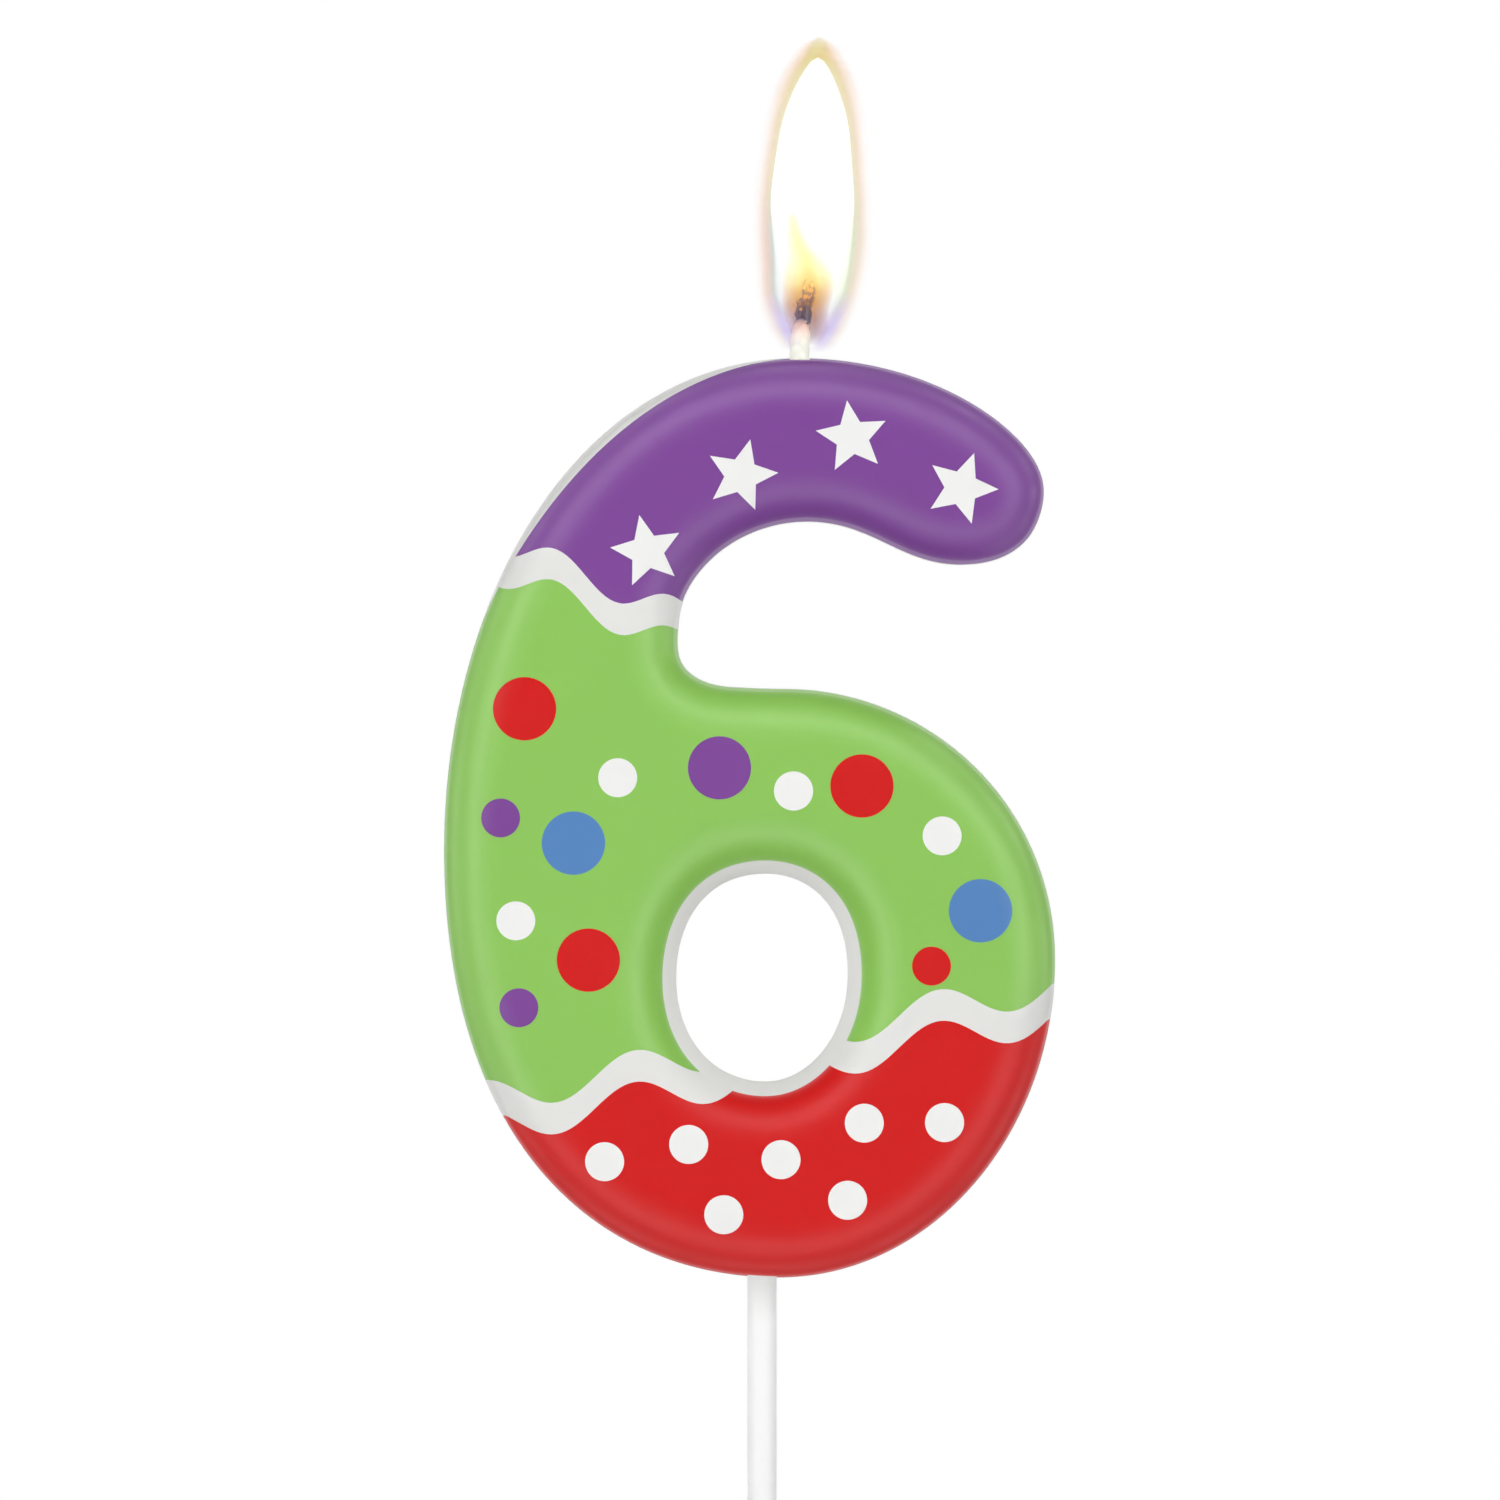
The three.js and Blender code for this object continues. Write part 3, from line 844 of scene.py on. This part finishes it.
def smooth_line(points, count):
    """An even centripetal Catmull-Rom line through the points."""
    points = np.array(points, float)
    padded = np.vstack((2 * points[0] - points[1], points, 2 * points[-1] - points[-2]))
    fine = []
    for before, a, b, after in zip(padded, padded[1:], padded[2:], padded[3:]):
        first, gap, last = (np.linalg.norm(leg) ** 0.5 for leg in (a - before, b - a, after - b))
        leaving = b - a + gap * ((a - before) / first - (b - before) / (first + gap))
        arriving = b - a + gap * ((after - b) / last - (after - a) / (gap + last))
        for t in np.linspace(0, 1, LINE_SPLINE_STEPS, endpoint=False):
            blend = 3 * t**2 - 2 * t**3
            pull = (t - 2 * t**2 + t**3) * leaving + (t**3 - t**2) * arriving
            fine.append((1 - blend) * a + blend * b + pull)
    return even_line(np.array([*fine, points[-1]]), count)


def rings_mesh(rings):
    """A closed body through rings of points, each end closed by one face."""
    sides = len(rings[0])
    faces = []
    for row in range(len(rings) - 1):
        for i in range(sides):
            a, b = row * sides + i, row * sides + (i + 1) % sides
            faces.append((a, b, b + sides, a + sides))
    last = (len(rings) - 1) * sides
    faces.append(tuple(reversed(range(sides))))
    faces.append(tuple(range(last, last + sides)))
    return np.vstack(rings), faces


def tube(line, radii):
    """Rings of points round a line, with a radius at each of its points."""
    along = unit(np.gradient(line, axis=0))
    across = unit(np.cross(along, (0, 1, 0)))
    third = np.cross(along, across)
    rings = []
    for place, one, two, radius in zip(line, across, third, radii):
        angles = np.linspace(0, 2 * math.pi, STRAND_SIDES, endpoint=False)[:, None]
        rings.append(place + radius * (np.cos(angles) * one + np.sin(angles) * two))
    return rings


def join(parts):
    """One list of places and one of faces from several."""
    places, faces = [], []
    for some_places, some_faces in parts:
        first = sum(len(block) for block in places)
        places.append(some_places)
        faces.extend(tuple(first + i for i in face) for face in some_faces)
    return np.vstack(places), faces


def turned(axis, profile, sides):
    """Rings about an upright axis line, from a profile of half widths and levels."""
    angles = np.linspace(0, 2 * math.pi, sides, endpoint=False)
    rings = []
    for radius, level in profile:
        middle = np.interp(level, axis[:, 1], axis[:, 0])
        x, y = middle + radius * np.cos(angles), radius * np.sin(angles)
        rings.append(np.column_stack((x, y, np.full(sides, level))))
    return rings


def pick_piece():
    """A round stick with a blunt point and a rounded upper end."""
    low, high = (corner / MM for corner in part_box("pick"))
    radius = high.x
    profile = [(radius * share, low.z + height) for share, height in PICK_TIP]
    for angle in np.linspace(0, math.pi / 2, PICK_RIM_POINTS):
        half_width = radius - PICK_RIM * (1 - math.cos(angle))
        profile.append((half_width, high.z - PICK_RIM * (1 - math.sin(angle))))
    axis = np.array([(0, low.z), (0, high.z)])
    return finish_mesh("plastic_pick", *rings_mesh(turned(axis, profile, PICK_SIDES)))


def wick_piece():
    """Strands plaited along the wick's route, thinner where they burn."""
    flat = smooth_line(WICK_ROUTE, WICK_STEPS)
    route = np.column_stack((flat[:, 0], np.zeros(WICK_STEPS), flat[:, 1]))
    across = np.cross(unit(np.gradient(route, axis=0)), (0, 1, 0))
    run = np.linalg.norm(np.diff(route, axis=0), axis=1).sum() * np.linspace(0, 1, WICK_STEPS)
    taper = np.interp(route[:, 2], WICK_TAPER, (1, WICK_TIP_SHARE))
    strands = []
    for strand in range(STRAND_COUNT):
        turn = 2 * math.pi * (run / BRAID_PITCH + strand / STRAND_COUNT)
        sway = (taper * BRAID_WIDTH * np.sin(turn))[:, None] * across
        depth = (taper * BRAID_DEPTH * np.sin(2 * turn))[:, None] * np.array((0, 1, 0))
        strands.append(rings_mesh(tube(route + sway + depth, taper * STRAND_RADIUS)))
    return finish_mesh("braided_wick", *join(strands))


def charred_piece():
    """The burnt strands, fraying and curling over."""
    tubes = []
    for lines, (thick, thin) in CHARRED_GROUPS:
        for points in lines:
            line = smooth_line(points, CHARRED_STEPS)
            tubes.append(rings_mesh(tube(line, np.linspace(thick, thin, CHARRED_STEPS))))
    return finish_mesh("charred_wick", *join(tubes))


def height_share(level):
    """A level as a share of the way up the flame."""
    return (level - FLAME_SPAN[0]) / (FLAME_SPAN[1] - FLAME_SPAN[0])


def height_chart(places):
    """For each place, no depth in the glow, and its share of the way up the flame."""
    return np.column_stack((np.zeros(len(places)), height_share(places[:, 2])))


def core_piece():
    """The bright middle of the flame, a closed skin about its axis."""
    axis = smooth_line(FLAME_AXIS, FLAME_AXIS_STEPS)
    profile = smooth_line(CORE_PROFILE, FLAME_LEVELS)
    places, faces = rings_mesh(turned(axis, profile, FLAME_SIDES))
    return finish_mesh("flame_core", places, faces, chart=height_chart(places))


def veils_piece(name, line, outline, shells, behind):
    """Nested, flattened veils of hot vapour that stand behind the wick."""
    axis = smooth_line(line, FLAME_AXIS_STEPS)
    profile = smooth_line(outline, FLAME_LEVELS)
    foot = profile[0, 1]
    veils = []
    for share in shells:
        levels = foot + (profile[:, 1] - foot) * share**VEIL_HEIGHT_POWER
        shrunk = np.column_stack((profile[:, 0] * share, levels))
        veils.append(rings_mesh(turned(axis, shrunk, FLAME_SIDES)))
    places, faces = join(veils)
    places[:, 1] = behind + VEIL_FLATNESS * places[:, 1]
    return finish_mesh(name, places, faces, chart=height_chart(places))


def plume_piece():
    """The vapour round the wick, drawn out to one side above it."""
    return veils_piece("flame_plume", PLUME_AXIS, PLUME_PROFILE, PLUME_SHELLS, PLUME_BEHIND)


def tongue_piece():
    """The darker vapour that rises from the wick's burnt end."""
    return veils_piece("flame_tongue", TONGUE_AXIS, TONGUE_PROFILE, TONGUE_SHELLS, TONGUE_BEHIND)


def glow_piece():
    """Thin upright fins of light, set like rays about the flame's axis, from its core out;
    above the core they curl, so that they close over its tip."""
    axis = smooth_line(FLAME_AXIS, FLAME_AXIS_STEPS)
    core = smooth_line(CORE_PROFILE, FLAME_PROFILE_STEPS)
    glow = smooth_line(GLOW_PROFILE, FLAME_PROFILE_STEPS)
    levels = np.linspace(*FLAME_SPAN, FLAME_LEVELS)
    inner = np.maximum(np.interp(levels, core[:, 1], core[:, 0]) - FIN_OVERLAP, 0)
    outer = np.interp(levels, glow[:, 1], glow[:, 0])
    curl = np.interp(levels, FIN_CURL_LEVELS, (0, FIN_CURL))
    middle = np.interp(levels, axis[:, 1], axis[:, 0])
    places, faces, chart = [], [], []
    for fin in range(FIN_COUNT):
        turn = 2 * math.pi * (fin + 0.5) / FIN_COUNT
        first = len(places)
        for row, level in enumerate(levels):
            for depth in np.linspace(0, 1, FIN_STEPS + 1):
                reach = inner[row] + depth * (outer[row] - inner[row])
                angle = turn + curl[row] * depth
                places.append((middle[row] + reach * math.cos(angle), reach * math.sin(angle), level))
                chart.append((depth, row / (FLAME_LEVELS - 1)))
        for row in range(FLAME_LEVELS - 1):
            for step in range(FIN_STEPS):
                a = first + row * (FIN_STEPS + 1) + step
                faces.append((a, a + 1, a + FIN_STEPS + 2, a + FIN_STEPS + 1))
    return finish_mesh("flame_glow", np.array(places), faces, chart=chart)


# Materials


def linear(colour):
    """A written colour, such as ff8800, as the light it stands for."""
    parts = [int(colour[i : i + 2], 16) / 255 for i in (0, 2, 4)]
    return [p / 12.92 if p <= 0.04045 else ((p + 0.055) / 1.055) ** 2.4 for p in parts]


class Nodes:
    """Short cuts for building the node tree of a material or a world."""

    def __init__(self, owner, output="ShaderNodeOutputMaterial"):
        self.owner = owner
        owner.use_nodes = True
        self.tree = owner.node_tree
        self.tree.nodes.clear()
        self.output = self.tree.nodes.new(output)

    def add(self, kind, inputs=None, **settings):
        node = self.tree.nodes.new(kind)
        for key, value in settings.items():
            setattr(node, key, value)
        for key, value in (inputs or {}).items():
            if isinstance(value, bpy.types.NodeSocket):
                self.tree.links.new(value, node.inputs[key])
            else:
                node.inputs[key].default_value = value
        return node

    def chart(self):
        """How deep in the glow a place lies, and its share of the flame's height."""
        place = self.add("ShaderNodeTexCoord").outputs["UV"]
        parts = self.add("ShaderNodeSeparateXYZ", {"Vector": place})
        return parts.outputs["X"], parts.outputs["Y"]

    def coordinates(self):
        return self.add("ShaderNodeTexCoord").outputs["Object"]

    def noise(self, scale, detail=3, roughness=0.5):
        inputs = {"Vector": self.coordinates(), "Scale": scale, "Detail": detail, "Roughness": roughness}
        return self.add("ShaderNodeTexNoise", inputs).outputs["Fac"]

    def map(self, value, low, high, to_low, to_high):
        inputs = {"Value": value, 1: low, 2: high, 3: to_low, 4: to_high}
        return self.add("ShaderNodeMapRange", inputs).outputs["Result"]

    def ramp(self, value, stops):
        """Stops are pairs of a position and a colour with alpha."""
        node = self.add("ShaderNodeValToRGB", {"Fac": value})
        elements = node.color_ramp.elements
        while len(elements) < len(stops):
            elements.new(0.5)
        for element, (position, colour) in zip(elements, stops):
            element.position = position
            element.color = colour
        return node

    def bump(self, height, distance, onto=None):
        inputs = {"Height": height, "Distance": distance * MM, "Strength": 1.0}
        if onto is not None:
            inputs["Normal"] = onto
        return self.add("ShaderNodeBump", inputs).outputs["Normal"]

    def seen(self):
        """One for rays that show a thing to the camera, in gloss or through glass, else none."""
        path = self.add("ShaderNodeLightPath").outputs
        seen = path[SEEING_RAYS[0]]
        for other in SEEING_RAYS[1:]:
            inputs = {0: seen, 1: path[other]}
            seen = self.add("ShaderNodeMath", inputs, operation="MAXIMUM").outputs[0]
        return seen

    def finish_surface(self, inputs):
        return self.finish(self.add("ShaderNodeBsdfPrincipled", inputs).outputs["BSDF"])

    def finish_veil(self, opacity, light, strength=1.0):
        """Light that lets what is behind it show."""
        clear = self.add("ShaderNodeBsdfTransparent").outputs[0]
        glow = self.add("ShaderNodeEmission", {"Color": light, "Strength": strength}).outputs[0]
        return self.finish(self.add("ShaderNodeMixShader", {0: opacity, 1: clear, 2: glow}).outputs[0])

    def finish(self, shader):
        self.tree.links.new(shader, self.output.inputs["Surface"])
        return self.owner


def material_nodes(name):
    return Nodes(bpy.data.materials.new(name))


def wax_material(name, colour, gloss):
    """Satin wax: faintly mottled, with soft dimples from cooling and a fine grain."""
    nodes = material_nodes(name)
    light = linear(colour)
    dark = [part * MOTTLE_SHADE for part in light]
    mottle = nodes.noise(scale=110, detail=4, roughness=0.6)
    shades = [(NOISE_SPAN[0], (*dark, 1)), (NOISE_SPAN[1], (*light, 1))]
    tint = nodes.ramp(mottle, shades).outputs["Color"]
    dimples = nodes.bump(nodes.noise(scale=260, detail=2), distance=0.05)
    grain = nodes.bump(nodes.noise(scale=2600), distance=0.003, onto=dimples)
    inputs = {
        "Base Color": tint,
        "Roughness": nodes.map(nodes.noise(scale=700), *NOISE_SPAN, *WAX_ROUGHNESS),
        "Specular IOR Level": gloss,
        "Normal": grain,
    }
    return nodes.finish_surface(inputs)


def plastic_material():
    """Smooth white plastic with a faint unevenness."""
    nodes = material_nodes("white_plastic")
    inputs = {
        "Base Color": (*linear(PLASTIC_COLOUR), 1),
        "Roughness": nodes.map(nodes.noise(scale=300, detail=2), *NOISE_SPAN, *PLASTIC_ROUGHNESS),
        "Specular IOR Level": PLASTIC_GLOSS,
        "Normal": nodes.bump(nodes.noise(scale=90, detail=1), distance=0.03),
    }
    return nodes.finish_surface(inputs)


def level_ramp(nodes, stops):
    """A colour that changes up the object; stops are pairs of a level and a colour."""
    low, high = stops[0][0], stops[-1][0]
    upright = nodes.add("ShaderNodeSeparateXYZ", {"Vector": nodes.coordinates()}).outputs["Z"]
    share = nodes.map(upright, low * MM, high * MM, 0, 1)
    ramp = nodes.ramp(share, [((z - low) / (high - low), (*linear(c), 1)) for z, c in stops])
    return ramp.outputs["Color"]


def cotton_material():
    """Wax-soaked cotton, with the flame's light on it painted in as a glow of its own."""
    nodes = material_nodes("waxed_cotton")
    inputs = {
        "Base Color": level_ramp(nodes, COTTON_STOPS),
        "Roughness": COTTON_ROUGHNESS,
        # painted light: the flame lights nothing, so its light on the wick is painted in as emission
        "Emission Color": level_ramp(nodes, COTTON_PAINTED_LIGHT),
        "Emission Strength": 1,
        "Normal": nodes.bump(nodes.noise(scale=3000, detail=2), distance=0.015),
    }
    return nodes.finish_surface(inputs)


def char_material():
    """Charred cotton whose loops glow: partly embers, partly painted highlights of the flame's light."""
    nodes = material_nodes("charred_cotton")
    # noise spots of light on the loops: partly ember glow, partly painted highlights
    embers_and_highlights = nodes.map(nodes.noise(scale=2600, detail=1), *EMBER_AND_HIGHLIGHT_SPAN, *EMBER_AND_HIGHLIGHT_STRENGTH)
    crust = nodes.bump(nodes.noise(scale=5000, detail=4, roughness=0.7), distance=0.05)
    inputs = {
        "Base Color": level_ramp(nodes, CHAR_STOPS),
        "Roughness": CHAR_ROUGHNESS,
        "Emission Color": level_ramp(nodes, CHAR_EMBER_GLOW_AND_HIGHLIGHTS),
        "Emission Strength": embers_and_highlights,
        "Normal": crust,
    }
    return nodes.finish_surface(inputs)


def veil_material(name, stops, strength):
    """A veil of light; stops are a level, a colour and an opacity."""
    nodes = material_nodes(name)
    _, height = nodes.chart()
    ramp = nodes.ramp(height, [(height_share(z), (*linear(c), a)) for z, c, a in stops])
    return nodes.finish_veil(ramp.outputs["Alpha"], ramp.outputs["Color"], strength)


def glow_material():
    """Fins that fade outwards, through colours that change up the flame and across it."""
    nodes = material_nodes("flame_glow")
    depth, height = nodes.chart()
    across = nodes.add("ShaderNodeSeparateXYZ", {"Vector": nodes.coordinates()}).outputs["X"]
    ramps = [
        nodes.ramp(depth, [(at, (*linear(colour), opacity)) for at, colour, opacity in stops])
        for stops in (LEFT_GLOW, RIGHT_GLOW, WAIST_GLOW, HEAD_GLOW, FOOT_GLOW)
    ]
    shares = [nodes.map(across, GLOW_TURN[0] * MM, GLOW_TURN[1] * MM, 0, 1)]
    for start, end in (WAIST_LEVELS, HEAD_LEVELS, FOOT_LEVELS):
        shares.append(nodes.map(height, height_share(start), height_share(end), 0, 1))
    colour, opacity = ramps[0].outputs
    for ramp, share in zip(ramps[1:], shares):
        inputs = {0: share, 6: colour, 7: ramp.outputs["Color"]}
        colour = nodes.add("ShaderNodeMix", inputs, data_type="RGBA").outputs[2]
        inputs = {0: share, 2: opacity, 3: ramp.outputs["Alpha"]}
        opacity = nodes.add("ShaderNodeMix", inputs, data_type="FLOAT").outputs[0]
    ends = nodes.ramp(height, [(height_share(z), (1, 1, 1, share)) for z, share in GLOW_ENDS])
    inputs = {0: opacity, 1: ends.outputs["Alpha"]}
    opacity = nodes.add("ShaderNodeMath", inputs, operation="MULTIPLY").outputs[0]
    return nodes.finish_veil(opacity, colour)


WAX = {name: wax_material(name, *looks) for name, looks in WAXES.items()}


def dress(piece, material, slot, body, *nodes):
    """Gives a piece its material, hangs it on its body, and hides the CAD nodes it replaces; the slot is
    not used.
    """
    piece.data.materials.append(material)
    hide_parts(*nodes)
    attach(piece, body)


def wax_of(label):
    """The wax of one label's film."""
    for wax, labels in COLOURED_FILMS.items():
        if label in labels:
            return wax
    return "white_wax"


def add_numeral():
    """The casting and its films. A film sends no light to what is near it and casts no shadow:
    the casting right under it has the same outline and does both."""
    dress(casting_piece(), WAX["bare_wax"], "bare_wax", "numeral", "wax_body")
    for label in ("arm_film", "middle_film", "base_film", *MOTIFS):
        wax = wax_of(label)
        film = film_piece(label)
        film.visible_diffuse = False
        film.visible_shadow = False
        dress(film, WAX[wax], wax, "numeral", label)


def add_flame():
    """The flame's pieces, which light nothing near them and cast no shadow."""
    pieces = [
        (core_piece(), veil_material("flame_core", CORE_STOPS, CORE_STRENGTH)),
        (plume_piece(), veil_material("flame_plume", PLUME_STOPS, 1)),
        (tongue_piece(), veil_material("flame_tongue", TONGUE_STOPS, 1)),
        (glow_piece(), glow_material()),
    ]
    for piece, material in pieces:
        piece.visible_diffuse = False
        piece.visible_shadow = False
        dress(piece, material, "flame", "numeral", "flame")


add_numeral()
dress(pick_piece(), plastic_material(), "pick_plastic", "pick", "pick")
dress(wick_piece(), cotton_material(), "wick_cotton", "numeral", "wick")
dress(charred_piece(), char_material(), "burnt_cotton", "numeral", "burnt_wick_end")
add_flame()


# Camera, light and floor: angles are in degrees and powers in watts

CAMERA_DISTANCE = 2600
CAMERA_X = -0.99
CAMERA_Z = 43.6
CAMERA_REACH = 50000
VIEW_WIDTH = 123.64
SENSOR_WIDTH = 36
TRANSPARENT_BOUNCES = 128

LAMP_COUNT = 12
LAMP_DISTANCE = 1400
LAMP_SIZE = 360
LAMP_OFF_AXIS = 50
LAMP_POWER = 1.83
BACK_LAMP_OFF_AXIS = 168
BACK_LAMP_POWER = 0.75
GLOSS_OFF_AXIS = 46
GLOSS_POWER = 6.2
EDGE_GLOSS_OFF_AXIS = 95
EDGE_GLOSS_POWER = 4.5
AMBIENT = 0.27
FLOOR_SIZE = 12000
FLOOR_GAP = 0.4
FLOOR_GREY = 0.86
FLOOR_FADE = (250, 900)
FLOOR_NEAR_WHITENESS = 0.5


def add_camera():
    """A camera straight in front of the numeral."""
    data = bpy.data.cameras.new("camera")
    data.sensor_width = SENSOR_WIDTH
    data.lens = SENSOR_WIDTH * CAMERA_DISTANCE / VIEW_WIDTH
    data.clip_end = CAMERA_REACH * MM
    camera = add_object("camera", data)
    camera.location = (CAMERA_X * MM, -CAMERA_DISTANCE * MM, CAMERA_Z * MM)
    camera.rotation_euler = (math.pi / 2, 0, 0)
    bpy.context.scene.camera = camera


def add_lamps():
    """Rings of softboxes round the line of sight, in front and behind, and two rings of lamps
    that only gloss shows: one for the shoulder's band, one for its outer edge."""
    add_ring("softbox", LAMP_OFF_AXIS, LAMP_POWER, lights=True)
    add_ring("back_softbox", BACK_LAMP_OFF_AXIS, BACK_LAMP_POWER, lights=True)
    add_ring("gloss_lamp", GLOSS_OFF_AXIS, GLOSS_POWER, lights=False)
    add_ring("edge_gloss_lamp", EDGE_GLOSS_OFF_AXIS, EDGE_GLOSS_POWER, lights=False)


def add_ring(name, off_axis, power, lights):
    """Lamps round the line of sight, either for light alone or for gloss alone."""
    target = Vector((0, 0, CAMERA_Z * MM))
    off = math.radians(off_axis)
    for i in range(LAMP_COUNT):
        angle = 2 * math.pi * i / LAMP_COUNT
        way = Vector((math.sin(off) * math.cos(angle), -math.cos(off), math.sin(off) * math.sin(angle)))
        data = bpy.data.lights.new(f"{name}_{i + 1}", "AREA")
        data.shape = "DISK"
        data.size = LAMP_SIZE * MM
        data.energy = power
        lamp = add_object(data.name, data)
        lamp.location = target + way * (LAMP_DISTANCE * MM)
        lamp.rotation_euler = way.to_track_quat("Z", "Y").to_euler()
        lamp.visible_camera = False
        lamp.visible_diffuse = lights
        lamp.visible_glossy = not lights


def add_world():
    """White behind the object and in reflections, and a soft even light."""
    nodes = Nodes(bpy.data.worlds.new("studio"), "ShaderNodeOutputWorld")
    inputs = {"Color": (1, 1, 1, 1), "Strength": nodes.map(nodes.seen(), 0, 1, AMBIENT, 1)}
    background = nodes.add("ShaderNodeBackground", inputs).outputs[0]
    bpy.context.scene.world = nodes.finish(background)


def add_floor():
    """Paper that takes the object's shadow and looks white wherever it is seen, more so further
    out."""
    half = FLOOR_SIZE * MM / 2
    level = cad_bounds[0].z - FLOOR_GAP * MM
    mesh = bpy.data.meshes.new("floor")
    corners = [(-half, -half, level), (half, -half, level), (half, half, level), (-half, half, level)]
    mesh.from_pydata(corners, [], [(0, 1, 2, 3)])
    floor = add_object("floor", mesh)
    nodes = material_nodes("floor")
    span = nodes.add("ShaderNodeVectorMath", {0: nodes.coordinates()}, operation="LENGTH")
    near, far = (distance * MM for distance in FLOOR_FADE)
    whiteness = nodes.map(span.outputs["Value"], near, far, FLOOR_NEAR_WHITENESS, 1)
    share = nodes.add("ShaderNodeMath", {0: nodes.seen(), 1: whiteness}, operation="MULTIPLY").outputs[0]
    grey = (FLOOR_GREY, FLOOR_GREY, FLOOR_GREY, 1)
    paper = nodes.add("ShaderNodeBsdfDiffuse", {"Color": grey}).outputs[0]
    white = nodes.add("ShaderNodeEmission", {"Color": (1, 1, 1, 1), "Strength": 1}).outputs[0]
    mixed = nodes.add("ShaderNodeMixShader", {0: share, 1: paper, 2: white}).outputs[0]
    mesh.materials.append(nodes.finish(mixed))
    floor.visible_shadow = False


add_camera()
add_lamps()
add_world()
add_floor()
bpy.context.scene.view_settings.view_transform = "Standard"
bpy.context.scene.cycles.transparent_max_bounces = TRANSPARENT_BOUNCES
